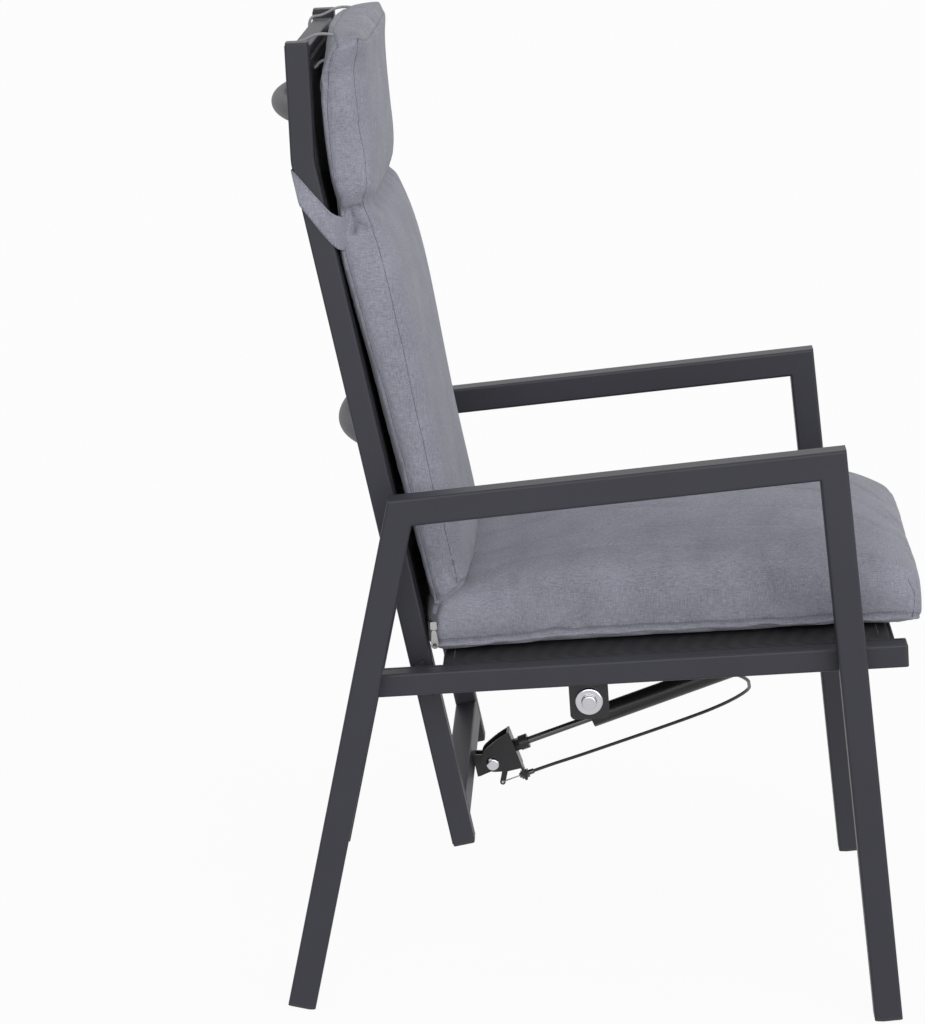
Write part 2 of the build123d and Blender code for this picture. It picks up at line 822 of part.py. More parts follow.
fork_inner = lug_outer + fork_gap
fork_outer = fork_inner + fork_plate
with BuildPart() as rod_bolt:
    with BuildSketch(side_plane(rod_bolt_place, fork_outer + fork_gap)):
        Circle(gas_bolt / 2)
    extrude(amount=2 * (fork_outer + fork_gap))
    with BuildSketch(side_plane(rod_bolt_place, -fork_outer - fork_gap)):
        Circle(dome_size / 2)
    extrude(amount=dome_height)
    fillet(rod_bolt.faces().sort_by(Axis.X)[0].edges(), dome_edge)
    with BuildSketch(side_plane(rod_bolt_place, fork_outer + fork_gap)):
        RegularPolygon(bolt_head / 2, 6, major_radius=False)
    extrude(amount=-bolt_head_height)
keep(rod_bolt, "rod_bolt")

# Fork: two cheeks and a front wall that holds the rod's end and the cable's adjuster
with BuildPart() as rod_fork:
    for side_name, side in SIDES:
        with BuildSketch(side_plane(rod_bolt_place, side * fork_inner, gas_along)):
            with BuildLine():
                Line((fork_front, fork_bottom), (fork_front, fork_top))
                ThreePointArc((fork_front, fork_top), ((fork_front - fork_crown_back) / 2, fork_top - fork_swell),
                              (-fork_crown_back, fork_crown))
                ThreePointArc((-fork_crown_back, fork_crown), (-fork_back, 0), (0, -fork_back))
                Line((0, -fork_back), (fork_heel_along, fork_heel))
                Line((fork_heel_along, fork_heel), (fork_front, fork_bottom))
            make_face()
            Circle(gas_bolt / 2 + pivot_running_gap, mode=Mode.SUBTRACT)
        extrude(amount=-side * fork_plate)
    with BuildSketch(gas_plane(fork_front, (fork_top + fork_bottom) / 2)):
        Rectangle(2 * fork_outer, fork_top - fork_bottom)
        with Locations((0, fork_tab_bottom - (fork_top + fork_bottom) / 2 - (fork_tab_bottom - fork_bottom) / 2)):
            Rectangle(fork_tab_width, fork_bottom - fork_tab_bottom)
    extrude(amount=-fork_plate)
    with BuildSketch(gas_plane(fork_front)):
        Circle(rod_size / 2)
    extrude(amount=-fork_plate, mode=Mode.SUBTRACT)
    with BuildSketch(gas_plane(fork_front, adjuster_up)):
        Circle(adjuster_size / 2)
    extrude(amount=-fork_plate, mode=Mode.SUBTRACT)
keep(rod_fork, "rod_fork")

with BuildPart() as release_head:
    with BuildSketch(gas_plane(fork_front)):
        RegularPolygon(head_nut / 2, 6, major_radius=False)
        Circle(rod_size / 2, mode=Mode.SUBTRACT)
    extrude(amount=head_nut_length)
    with BuildSketch(gas_plane(fork_front + head_nut_length)):
        Circle(head_size / 2)
        Circle(rod_size / 2, mode=Mode.SUBTRACT)
    extrude(amount=head_length)
keep(release_head, "release_head")

# Release lever between the cheeks, its pin, and the valve pin that it presses
lever_top = pair(lever_pin_along, lever_pin_up)
lever_knee = pair(lever_knee_along, lever_knee_up)
lever_hook = pair(lever_hook_along, adjuster_up)
with BuildPart() as release_lever:
    with BuildSketch(side_plane(rod_bolt_place, 0, gas_along)):
        for first, second in ((lever_top, lever_knee), (lever_knee, lever_hook)):
            middle = (first + second) / 2
            turn = math.degrees(math.atan2(second.Y - first.Y, second.X - first.X))
            with Locations(Location((middle.X, middle.Y), turn)):
                SlotCenterToCenter((second - first).length, lever_width)
        with Locations((lever_pin_along, lever_pin_up)):
            Circle(lever_pin / 2 + pivot_running_gap, mode=Mode.SUBTRACT)
        with Locations((lever_hook_along, adjuster_up)):
            Circle(barrel_size / 2 + barrel_gap, mode=Mode.SUBTRACT)
        with Locations((lever_hook_along + lever_width / 2, adjuster_up)):
            Rectangle(lever_width, wire_size + 2 * lever_gap, mode=Mode.SUBTRACT)
    extrude(amount=lever_thickness / 2, both=True)
keep(release_lever, "release_lever")

with BuildPart() as lever_pivot_pin:
    with BuildSketch(side_plane(on_gas(lever_pin_along, lever_pin_up), fork_inner)):
        Circle(lever_pin / 2)
    extrude(amount=2 * fork_inner)
keep(lever_pivot_pin, "lever_pin")

knee_share = (lever_pin_up - rod_offset) / (lever_pin_up - lever_knee_up)
lever_face = lever_pin_along + (lever_knee_along - lever_pin_along) * knee_share + lever_width / 2
pin_rear = lever_face + lever_gap
pin_dome = pin_rear + release_pin / 2
with BuildPart() as valve_pin:
    with BuildSketch(gas_plane(pin_dome)):
        Circle(release_pin / 2)
    extrude(amount=rod_rear + release_pin_length - release_pin_travel - lever_gap - pin_dome)
    with Locations(gas_plane(pin_dome)):
        Sphere(release_pin / 2)
keep(valve_pin, "valve_pin")

# Cable adjuster screwed through the fork's tab
with BuildPart() as cable_adjuster:
    with BuildSketch(gas_plane(fork_front - fork_plate - adjuster_back, adjuster_up)):
        Circle(adjuster_size / 2)
    extrude(amount=adjuster_back + fork_plate + adjuster_front)
    for place, way in ((fork_front, 1), (fork_front - fork_plate, -1)):
        with BuildSketch(gas_plane(place, adjuster_up)):
            RegularPolygon(adjuster_nut / 2, 6, major_radius=False)
        extrude(amount=way * adjuster_nut_length)
    with BuildSketch(gas_plane(fork_front - fork_plate - adjuster_back, adjuster_up)):
        Circle(adjuster_bore / 2)
    extrude(amount=adjuster_back + fork_plate + adjuster_front, mode=Mode.SUBTRACT)
keep(cable_adjuster, "cable_adjuster")

# Push button: a bracket under the right rail, a chrome bezel, a threaded housing and the plunger
button_on_rail = on_rail(button_place, -button_drop)
plate_face = rail_outer - button_plate_inset
plate_back = plate_face - button_plate
with BuildPart() as button_bracket:
    with BuildSketch(side_plane(button_on_rail, -plate_back, rail_along)):
        with Locations((0, button_drop - button_plate_drop / 2)):
            RectangleRounded(button_plate_width, button_plate_drop, button_plate_corner)
        with Locations((0, button_drop - button_plate_corner / 2)):
            Rectangle(button_plate_width, button_plate_corner)
        Circle(housing_size / 2 + housing_gap, mode=Mode.SUBTRACT)
    extrude(amount=button_plate)
keep(button_bracket, "button_bracket")

plunger_bore = plunger_size / 2 + plunger_gap
with BuildPart() as button_bezel:
    with BuildSketch(side_plane(button_on_rail, -plate_face)):
        Circle(bezel_size / 2)
    extrude(amount=bezel_height)
    fillet(button_bezel.faces().sort_by(Axis.X)[0].edges(), bezel_edge)
    with BuildSketch(side_plane(button_on_rail, -plate_face)):
        Circle(housing_size / 2)
    extrude(amount=-housing_length)
    with BuildSketch(side_plane(button_on_rail, -plate_face + housing_length)):
        Circle(cable_nozzle / 2)
    extrude(amount=-cable_nozzle_length)
    with BuildSketch(side_plane(button_on_rail, -plate_face + housing_length - housing_floor)):
        Circle(plunger_bore)
    extrude(amount=housing_length + bezel_height, mode=Mode.SUBTRACT)
keep(button_bezel, "button_housing")

with BuildPart() as button_nut:
    with BuildSketch(side_plane(button_on_rail, -plate_back)):
        RegularPolygon(housing_nut / 2, 6, major_radius=False)
        Circle(housing_size / 2, mode=Mode.SUBTRACT)
    extrude(amount=-housing_nut_height)
keep(button_nut, "button_nut")

plunger_inner = housing_length - housing_floor - button_travel - plunger_gap
with BuildPart() as push_button:
    with BuildSketch(side_plane(button_on_rail, -plate_face + plunger_inner)):
        Circle(plunger_size / 2)
    extrude(amount=plunger_inner + bezel_height + plunger_height)
    fillet(push_button.faces().sort_by(Axis.X)[0].edges(), plunger_size / 8)
keep(push_button, "push_button")

# Release cable: one sheath with its wire, from the housing's nozzle to the lever's hook
nozzle_end = -plate_face + housing_length + cable_nozzle_length
cable_start = space(button_on_rail, nozzle_end)
adjuster_front_end = space(on_gas(fork_front + adjuster_front, adjuster_up))
adjuster_lead = space(on_gas(fork_front + adjuster_front + cable_lead, adjuster_up))
hook_place = on_gas(lever_hook_along, adjuster_up)
sheath_points = [cable_start, cable_start + ACROSS * cable_exit]
for inward, forward, up in cable_by_button:
    sheath_points.append(space(pair(forward, up), nozzle_end + inward))
for outward, forward, up in cable_by_middle:
    sheath_points.append(space(pair(forward, up), -outward))
sheath_points += [adjuster_lead, adjuster_front_end]
sheath_radii = []
for before, corner, after in zip(sheath_points, sheath_points[1:], sheath_points[2:]):
    half_turn = math.radians((corner - before).get_angle(after - corner) / 2)
    shorter_run = min((corner - before).length, (after - corner).length)
    sheath_radii.append(cable_share * shorter_run / math.tan(half_turn))
print("release cable radii:", [round(radius, 1) for radius in sheath_radii])
with BuildPart() as release_cable:
    with BuildLine() as sheath_route:
        FilletPolyline(*sheath_points, radius=sheath_radii)
    with BuildSketch(Plane(origin=sheath_route.line @ 0, z_dir=sheath_route.line % 0)):
        Circle(cable_size / 2)
    sweep(path=sheath_route.wires()[0])
    with BuildSketch(gas_plane(fork_front + adjuster_front, adjuster_up)):
        Circle(wire_size / 2)
    extrude(amount=lever_hook_along - fork_front - adjuster_front)
    with BuildSketch(side_plane(hook_place)):
        Circle(barrel_size / 2)
    extrude(amount=lever_thickness / 2, both=True)
keep(release_cable, "release_cable")


# Cushions: closed solids lofted through sections with a rear or bottom arc, two sides and a crown
def cushion_section(half_width, low, high, low_crown, crown, bulge):
    """Four arcs round a cushion's section: low face, high face and two bulging sides, in the open sketch."""
    middle = (low + high) / 2
    with BuildLine() as outline:
        ThreePointArc((-half_width, low), (0, low - low_crown), (half_width, low))
        ThreePointArc((half_width, low), (half_width + bulge, middle), (half_width, high))
        ThreePointArc((half_width, high), (0, high + crown), (-half_width, high))
        ThreePointArc((-half_width, high), (-half_width - bulge, middle), (-half_width, low))
    make_face(outline.edges())


seat_outer = rail_inner - seat_cushion_side_gap
seat_half = seat_outer - cushion_bulge
seat_low = rail_depth + seat_cushion_lift
seat_middle = seat_cushion_length / 2
seat_stations = (
    (0.0, seat_half, seat_rear_boxing, seat_rear_crown),
    (seat_step, seat_half, seat_step_boxing, seat_step_crown),
    (seat_shoulder, seat_half - cushion_draw / 2, seat_boxing, seat_crown * 3 / 4),
    (seat_middle, seat_half - cushion_draw, seat_boxing, seat_crown),
    (seat_cushion_length - seat_shoulder, seat_half - cushion_draw / 2, seat_boxing, seat_crown * 3 / 4),
    (seat_cushion_length - seat_front_easing, seat_half, seat_boxing, seat_step_crown),
    (seat_cushion_length, seat_half, seat_boxing, seat_front_crown),
)
with BuildPart() as seat_cushion:
    for place, half_width, boxing, crown in seat_stations:
        with BuildSketch(Plane(origin=space(on_rail(seat_cushion_rear + place, seat_low)),
                               x_dir=ACROSS, z_dir=heading(rail_along))):
            cushion_section(half_width, 0, boxing, seat_low - seat_cushion_base, crown, cushion_bulge)
    loft()
keep(seat_cushion, "seat_cushion")

back_half = stile_outer - cushion_bulge
waist_half = back_half - waist_draw
rear_crown = boxing_low - sling_lift - sling_thickness + back_sag - cushion_gap
foot_along = on_back(back_foot_front, stile_depth + boxing_high) - on_back(back_foot_rear, stile_depth + boxing_low)
foot_plane = Plane(origin=space(on_back(back_foot_rear, stile_depth + boxing_low)),
                   x_dir=-ACROSS, z_dir=heading(square_to(foot_along, lower_up)))
lower_length = waist_place - back_foot_front
lower_stations = (
    (back_foot_front + back_easing, back_half, rear_crown * 3 / 4, back_crown * 2 / 3),
    (back_foot_front + lower_length / 2, back_half - cushion_draw / 2, rear_crown, back_crown),
    (waist_place - back_easing, back_half, rear_crown * 3 / 4, back_crown * 2 / 3),
)
head_middle = (waist_place + head_top) / 2
head_stations = (
    (waist_place + head_easing, back_half, head_crown * 2 / 3),
    (head_middle, back_half - cushion_draw / 2, head_crown),
    (head_top - head_easing, back_half, head_crown * 2 / 3),
    (head_top, back_half, back_end_crown / 2),
)
with BuildPart() as back_cushion:
    with BuildSketch(foot_plane):
        cushion_section(back_half, 0, foot_along.length, back_end_crown / 2, back_end_crown, cushion_bulge)
    for place, half_width, low_crown, crown in lower_stations:
        with BuildSketch(back_plane(place, stile_depth)):
            cushion_section(half_width, boxing_low, boxing_high, low_crown, crown, cushion_bulge)
    with BuildSketch(back_plane(waist_place, stile_depth)):
        cushion_section(waist_half, waist_low, waist_high, waist_crown, waist_crown, cushion_bulge / 2)
    loft()
    with BuildSketch(back_plane(waist_place, stile_depth)):
        cushion_section(waist_half, waist_low, waist_high, waist_crown, waist_crown, cushion_bulge / 2)
    for place, half_width, crown in head_stations:
        with BuildSketch(back_plane(place, stile_depth)):
            cushion_section(half_width, head_low, head_high, waist_crown, crown, cushion_bulge)
    loft()
keep(back_cushion, "back_cushion")

# Strap: from the waist across each stile's outer face, and across the back behind the stiles
strap_front = on_back(strap_front_place, strap_front_out)
strap_rear = on_back(strap_rear_place, -strap_gap - strap_thickness)
strap_along = (strap_rear - strap_front).normalized()
strap_reach = (strap_rear - strap_front).length
strap_x = stile_outer + strap_gap
strap_side_plane = Plane(origin=space(strap_front), x_dir=ACROSS,
                         z_dir=heading(square_to(strap_along, lower_out)))
with BuildPart() as cushion_strap:
    with BuildSketch(strap_side_plane):
        for side_name, side in SIDES:
            with Locations((side * (strap_x + strap_thickness / 2), strap_reach / 2)):
                Rectangle(strap_thickness, strap_reach)
    extrude(amount=strap_width / 2, both=True)
    with BuildSketch(back_plane(strap_rear_place, -strap_gap - strap_thickness / 2)):
        Rectangle(2 * (strap_x + strap_thickness), strap_thickness)
    extrude(amount=strap_width / 2, both=True)
keep(cushion_strap, "cushion_strap")


# Elastic loops: from the cushion's rear face over the top crossbar, down behind it and back under it
top_bar_out = stile_depth / 2 + top_bar_depth / 2
loop_clear = elastic_size / 2 + elastic_gap
loop_top = top_bar_place + top_bar_depth / 2 + loop_clear
loop_low = top_bar_place - top_bar_depth / 2 - loop_clear
loop_rear = stile_depth / 2 - top_bar_depth / 2 - loop_clear
loop_front = stile_depth + head_low - waist_crown + elastic_gap
with BuildPart() as elastic_loops:
    for side_name, side in SIDES:
        loop_x = side * (stile_inner - elastic_inset)
        with BuildLine() as loop_route:
            FilletPolyline(space(on_back(loop_top + elastic_rise, loop_front), loop_x),
                           space(on_back(loop_top, top_bar_out), loop_x),
                           space(on_back(loop_top, loop_rear), loop_x),
                           space(on_back(loop_low, loop_rear), loop_x),
                           space(on_back(loop_low, top_bar_out + elastic_size), loop_x),
                           radius=elastic_bend)
        with BuildSketch(Plane(origin=loop_route.line @ 0, z_dir=loop_route.line % 0)):
            Circle(elastic_size / 2)
        sweep(path=loop_route.wires()[0])
keep(elastic_loops, "elastic_loops")

# Zip slider on the seat cushion's right side by the rear corner, and its pull, which swings out
slider_at = on_rail(seat_cushion_rear + slider_place, seat_low + slider_height)
slider_x = seat_outer + slider_gap
with BuildPart() as zip_slider:
    with BuildSketch(side_plane(slider_at, -slider_x, rail_along)):
        RectangleRounded(slider_width, slider_length, slider_width / 4)
    extrude(amount=slider_thickness)
keep(zip_slider, "zip_slider")

pull_at = slider_at - rail_up * (slider_length / 2 + pull_gap + pull_top)
pull_x = slider_x + slider_thickness - pull_thickness / 2
with BuildPart() as zip_pull:
    with BuildSketch(side_plane(pull_at, -pull_x, rail_along)):
        Circle(pull_top)
        with Locations((0, -pull_length)):
            Circle(pull_end)
        make_hull()
        with Locations((0, -pull_length)):
            Circle(pull_hole / 2, mode=Mode.SUBTRACT)
    extrude(amount=pull_thickness / 2, both=True)
keep(zip_pull, "zip_pull")
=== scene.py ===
import json
import math

import bmesh
import bpy
import numpy as np
from mathutils import Matrix, Quaternion, Vector
from mathutils.bvhtree import BVHTree


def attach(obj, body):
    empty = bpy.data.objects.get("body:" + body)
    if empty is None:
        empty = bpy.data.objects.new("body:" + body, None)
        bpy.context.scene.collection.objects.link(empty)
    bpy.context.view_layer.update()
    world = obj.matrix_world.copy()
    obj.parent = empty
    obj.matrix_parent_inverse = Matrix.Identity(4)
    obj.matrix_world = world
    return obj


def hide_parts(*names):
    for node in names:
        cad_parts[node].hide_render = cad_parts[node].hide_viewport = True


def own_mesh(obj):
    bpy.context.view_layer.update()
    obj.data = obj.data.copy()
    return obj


# Reclining garden armchair, dressed over its CAD frame, in metres.
# The chair faces -Y, +X is the sitter's left. Forward is counted from the back edge of the rear feet.
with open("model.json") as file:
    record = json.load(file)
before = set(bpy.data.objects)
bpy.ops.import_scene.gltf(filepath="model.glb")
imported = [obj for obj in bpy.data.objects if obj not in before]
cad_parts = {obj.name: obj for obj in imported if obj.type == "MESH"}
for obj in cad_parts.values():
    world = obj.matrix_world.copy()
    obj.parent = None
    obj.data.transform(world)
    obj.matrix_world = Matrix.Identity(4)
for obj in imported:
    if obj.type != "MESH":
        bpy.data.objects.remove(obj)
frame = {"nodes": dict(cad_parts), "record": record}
scene = bpy.context.scene
bpy.context.view_layer.update()
solids = frame["nodes"]
joints = {joint["name"]: joint for joint in frame["record"]["behaviour"]["joints"]}
couplings = {link["joint"]: link["ratio"] for link in frame["record"]["behaviour"]["couplings"]}

MM = 0.001
CHAIR_CENTRE = 0.3170982
RAIL_REAR = (0.072, 0.3415)
RAIL_ANGLE = math.radians(4.5)
RAIL_DEPTH = 0.025
RAIL_INNER = 0.240
STILE_FOOT = (0.1727, 0.1556)
BACK_ANGLE = math.radians(13.25)
TOP_ANGLE = math.radians(3.1)
STILE_LOWER = 0.771
STILE_DEPTH = 0.025
STILE_OUTER = 0.205
STILE_INNER = 0.180
SIDES = (("right", -1), ("left", 1))
ACROSS = Vector((1, 0, 0))


def place(forward, up, lateral=0.0):
    """A point from its distance forward, its height and its distance to the sitter's left."""
    return Vector((lateral, CHAIR_CENTRE - forward, up))


def on_rail(along, up, lateral=0.0):
    """A point from its distance along the seat rail and above the rail's bottom."""
    forward = RAIL_REAR[0] + along * math.cos(RAIL_ANGLE) - up * math.sin(RAIL_ANGLE)
    height = RAIL_REAR[1] + along * math.sin(RAIL_ANGLE) + up * math.cos(RAIL_ANGLE)
    return place(forward, height, lateral)


def on_back(along, out, lateral=0.0):
    """A point from its distance up the stile's rear face and out in front of it."""
    lower = min(along, STILE_LOWER)
    angle = BACK_ANGLE if along <= STILE_LOWER else TOP_ANGLE
    upper = along - lower
    forward = STILE_FOOT[0] - lower * math.sin(BACK_ANGLE) - upper * math.sin(TOP_ANGLE) + out * math.cos(angle)
    height = STILE_FOOT[1] + lower * math.cos(BACK_ANGLE) + upper * math.cos(TOP_ANGLE) + out * math.sin(angle)
    return place(forward, height, lateral)


RAIL_UP = (on_rail(0, 1) - on_rail(0, 0)).normalized()
RAIL_ALONG = (on_rail(1, 0) - on_rail(0, 0)).normalized()
BACK_UP = (on_back(0.5, 0) - on_back(0, 0)).normalized()
BACK_OUT = (on_back(0, 1) - on_back(0, 0)).normalized()


# Materials
YARN_PITCH = 0.9 * MM
MESH_PITCH = 1.6 * MM


def shader(name, colour, roughness, **sockets):
    """A material with a Principled shader, and its tree and shader node."""
    material = bpy.data.materials.new(name)
    material.use_nodes = True
    surface = material.node_tree.nodes["Principled BSDF"]
    surface.inputs["Base Color"].default_value = (*colour, 1.0)
    surface.inputs["Roughness"].default_value = roughness
    for socket, value in sockets.items():
        surface.inputs[socket.replace("_", " ")].default_value = value
    return material, material.node_tree, surface


def add(tree, kind, inputs, **settings):
    """A shader node; its inputs, by socket name or number, are values or another node's outputs."""
    made = tree.nodes.new("ShaderNode" + kind)
    for name, value in settings.items():
        setattr(made, name, value)
    for socket, value in inputs.items():
        if isinstance(value, bpy.types.NodeSocket):
            tree.links.new(value, made.inputs[socket])
        else:
            made.inputs[socket].default_value = value
    return made


def grain(tree, scale, stretch=(1, 1, 1), detail=2.0):
    """Noise of that many cells a metre, with its cells shortened by stretch along x, y and z."""
    where = add(tree, "TexCoord", {}).outputs["Object"]
    shaped = add(tree, "Mapping", {"Vector": where, "Scale": stretch})
    noise = add(tree, "TexNoise", {"Vector": shaped.outputs["Vector"], "Scale": scale, "Detail": detail})
    return noise.outputs["Fac"]


def threads(tree, pitch, axis, roughness=0.0):
    """Rows of threads, one every pitch, across that axis."""
    where = add(tree, "TexCoord", {}).outputs["Object"]
    wave = add(tree, "TexWave", {"Vector": where, "Scale": math.pi / 10 / pitch, "Distortion": roughness,
                                 "Detail": 1.0, "Detail Scale": 2.0}, bands_direction=axis)
    return wave.outputs["Fac"]


def combine(tree, operation, first, second):
    """A math node on two numbers."""
    return add(tree, "Math", {0: first, 1: second}, operation=operation).outputs["Value"]


def colours(tree, factor, *stops):
    """A colour ramp with (position, colour) stops."""
    made = add(tree, "ValToRGB", {"Fac": factor})
    for index, (position, colour) in enumerate(stops):
        stop = made.color_ramp.elements[index] if index < 2 else made.color_ramp.elements.new(position)
        stop.position = position
        stop.color = (*colour, 1.0)
    return made.outputs["Color"]


def relief(tree, surface, *layers):
    """Bump layers on a surface, each a height, a strength and a depth."""
    normal = None
    for height, strength, depth in layers:
        inputs = {"Height": height, "Strength": strength, "Distance": depth}
        if normal:
            inputs["Normal"] = normal
        normal = add(tree, "Bump", inputs).outputs["Normal"]
    tree.links.new(normal, surface.inputs["Normal"])


def paint(tree, surface, colour):
    """Lets a colour output set a surface's base colour."""
    tree.links.new(colour, surface.inputs["Base Color"])


def tint(colour, factor):
    """A colour made lighter or darker."""
    return tuple(channel * factor for channel in colour)


def powder_coat(name, colour, roughness, edge_highlight):
    """Fine textured paint, with a painted highlight along its edges, lighter in patches."""
    material, tree, surface = shader(name, colour, roughness, Specular_IOR_Level=0.4)
    cloudy = colours(tree, grain(tree, 9.0), (0.3, tint(colour, 0.93)), (0.7, tint(colour, 1.07)))
    rounded = add(tree, "Bevel", {"Radius": 1.2 * MM}, samples=4).outputs["Normal"]
    plain = add(tree, "NewGeometry", {}).outputs["Normal"]
    turned = add(tree, "VectorMath", {0: rounded, 1: plain}, operation="DOT_PRODUCT").outputs["Value"]
    # Painted highlight: the colour is made lighter, in patches, where the surface turns round an edge
    edge_highlight_mask = colours(tree, turned, (0.86, (1, 1, 1)), (0.985, (0, 0, 0)))
    patchy_highlight = combine(tree, "MULTIPLY", edge_highlight_mask, combine(tree, "MULTIPLY", grain(tree, 60.0), edge_highlight))
    highlighted = add(tree, "Mix", {0: patchy_highlight, 6: cloudy, 7: (*tint(colour, 2.0), 1.0)}, data_type="RGBA")
    paint(tree, surface, highlighted.outputs[2])
    relief(tree, surface, (grain(tree, 1400.0), 0.25, 0.15 * MM), (grain(tree, 260.0), 0.08, 0.2 * MM))
    return material


def metal(name, colour, roughness, brushed=(1, 1, 1), depth=0.05):
    """Polished or brushed metal with faint smears and scratches."""
    material, tree, surface = shader(name, colour, roughness, Metallic=1.0)
    paint(tree, surface, colours(tree, grain(tree, 120.0), (0.3, tint(colour, 0.94)), (0.7, colour)))
    smeared = add(tree, "MapRange", {0: grain(tree, 90.0), 3: roughness * 0.75, 4: roughness * 1.3})
    tree.links.new(smeared.outputs[0], surface.inputs["Roughness"])
    relief(tree, surface, (grain(tree, 900.0, brushed), depth, 0.1 * MM))
    return material


def moulded(name, colour, roughness):
    """Moulded plastic with a fine spark grain."""
    material, tree, surface = shader(name, colour, roughness)
    paint(tree, surface, colours(tree, grain(tree, 40.0), (0.3, tint(colour, 0.9)), (0.7, tint(colour, 1.15))))
    relief(tree, surface, (grain(tree, 1100.0), 0.3, 0.12 * MM))
    return material


def heather(name, dark, pale):
    """Woven fabric of light and dark yarns, with slubs, a fine weave and soft ripples."""
    material, tree, surface = shader(name, pale, 0.9, Specular_IOR_Level=0.2, Sheen_Weight=0.2, Sheen_Roughness=0.5)
    along = grain(tree, 120.0, (1, 12, 12))
    weft = grain(tree, 120.0, (12, 1, 12))
    warp = grain(tree, 120.0, (12, 12, 1))
    yarns = combine(tree, "ADD", combine(tree, "ADD", along, weft), warp)
    mixed = combine(tree, "DIVIDE", yarns, 3.0)
    slubs = combine(tree, "MULTIPLY", combine(tree, "SUBTRACT", grain(tree, 22.0, detail=4.0), 0.5), 0.16)
    blend = combine(tree, "ADD", mixed, slubs)
    middle = tuple((low + high) / 2 for low, high in zip(dark, pale))
    paint(tree, surface, colours(tree, blend, (0.38, dark), (0.50, middle), (0.62, pale)))
    crossed = combine(tree, "ADD", threads(tree, YARN_PITCH, "X", 0.6), threads(tree, YARN_PITCH, "Y", 0.6))
    weave = combine(tree, "MULTIPLY", crossed, threads(tree, YARN_PITCH, "Z", 0.6))
    relief(tree, surface, (grain(tree, 26.0, detail=3.0), 0.30, 3.0 * MM), (weave, 0.25, 0.2 * MM),
           (yarns, 0.45, 0.35 * MM))
    return material


def textile_mesh(name, colour):
    """Coated mesh of crossed round yarns."""
    material, tree, surface = shader(name, colour, 0.55, Specular_IOR_Level=0.35)
    across = threads(tree, MESH_PITCH, "X", 0.15)
    upward = threads(tree, MESH_PITCH, "Z", 0.15)
    level = threads(tree, MESH_PITCH, "Y", 0.15)
    weave = combine(tree, "MULTIPLY", across, combine(tree, "MAXIMUM", upward, level))
    paint(tree, surface, colours(tree, weave, (0.1, tint(colour, 0.35)), (0.6, tint(colour, 1.5))))
    relief(tree, surface, (weave, 0.7, 0.5 * MM), (grain(tree, 1200.0), 0.15, 0.1 * MM))
    return material


CHARCOAL = (0.0205, 0.0209, 0.0292)
BLACK = (0.012, 0.012, 0.014)
materials = {
    # The last number of each paint is the strength of its painted edge highlight
    "frame_paint": powder_coat("frame_paint", CHARCOAL, 0.48, 0.5),
    "mechanism_paint": powder_coat("mechanism_paint", BLACK, 0.33, 0.9),
    "foot_plastic": moulded("foot_plastic", (0.02, 0.02, 0.022), 0.5),
    "bush_plastic": moulded("bush_plastic", (0.025, 0.025, 0.025), 0.4),
    "cable_sheath": moulded("cable_sheath", (0.016, 0.016, 0.018), 0.38),
    "sling_mesh": textile_mesh("sling_mesh", (0.016, 0.016, 0.018)),
    "cushion_fabric": heather("cushion_fabric", (0.174, 0.176, 0.213), (0.353, 0.355, 0.412)),
    "elastic": heather("elastic", (0.24, 0.24, 0.26), (0.42, 0.42, 0.44)),
    "rod_steel": metal("rod_steel", (0.10, 0.10, 0.105), 0.32, (1, 6, 6)),
    "chrome": metal("chrome", (0.56, 0.56, 0.59), 0.12, depth=0.02),
    "zip_nickel": metal("zip_nickel", (0.42, 0.415, 0.40), 0.25, depth=0.1),
    "stitching": heather("stitching", (0.09, 0.09, 0.11), (0.19, 0.19, 0.225)),
    "zip_tape": heather("zip_tape", (0.12, 0.12, 0.14), (0.22, 0.22, 0.25)),
    "wire_steel": metal("wire_steel", (0.42, 0.42, 0.43), 0.3, (1, 1, 8)),
}
for part in frame["record"]["subparts"]:
    solids[part["node"]].data.materials.clear()
    solids[part["node"]].data.materials.append(materials[part["material_slot"]])


# Mesh helpers
def piece_of(name, mesh, finish, body=None):
    """A new piece with that mesh or curve and material, on its body."""
    piece = bpy.data.objects.new(name, mesh)
    scene.collection.objects.link(piece)
    piece.data.materials.clear()
    piece.data.materials.append(materials[finish])
    if body:
        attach(piece, body)
    return piece


def bake(piece):
    """Applies a piece's modifiers to its mesh."""
    shaped = bpy.data.meshes.new_from_object(piece.evaluated_get(bpy.context.evaluated_depsgraph_get()))
    piece.modifiers.clear()
    piece.data = shaped


def points_of(mesh):
    """A mesh's points as an array."""
    flat = np.empty(len(mesh.vertices) * 3)
    mesh.vertices.foreach_get("co", flat)
    return flat.reshape(-1, 3)


def normals_of(mesh):
    """A mesh's point normals as an array."""
    flat = np.empty(len(mesh.vertices) * 3)
    mesh.vertices.foreach_get("normal", flat)
    return flat.reshape(-1, 3)


def move_points(mesh, points):
    """Puts a mesh's points at new places."""
    mesh.vertices.foreach_set("co", np.asarray(points).ravel())
    mesh.update()


def smooth_shade(mesh):
    """Shades a mesh smooth."""
    mesh.polygons.foreach_set("use_smooth", [True] * len(mesh.polygons))


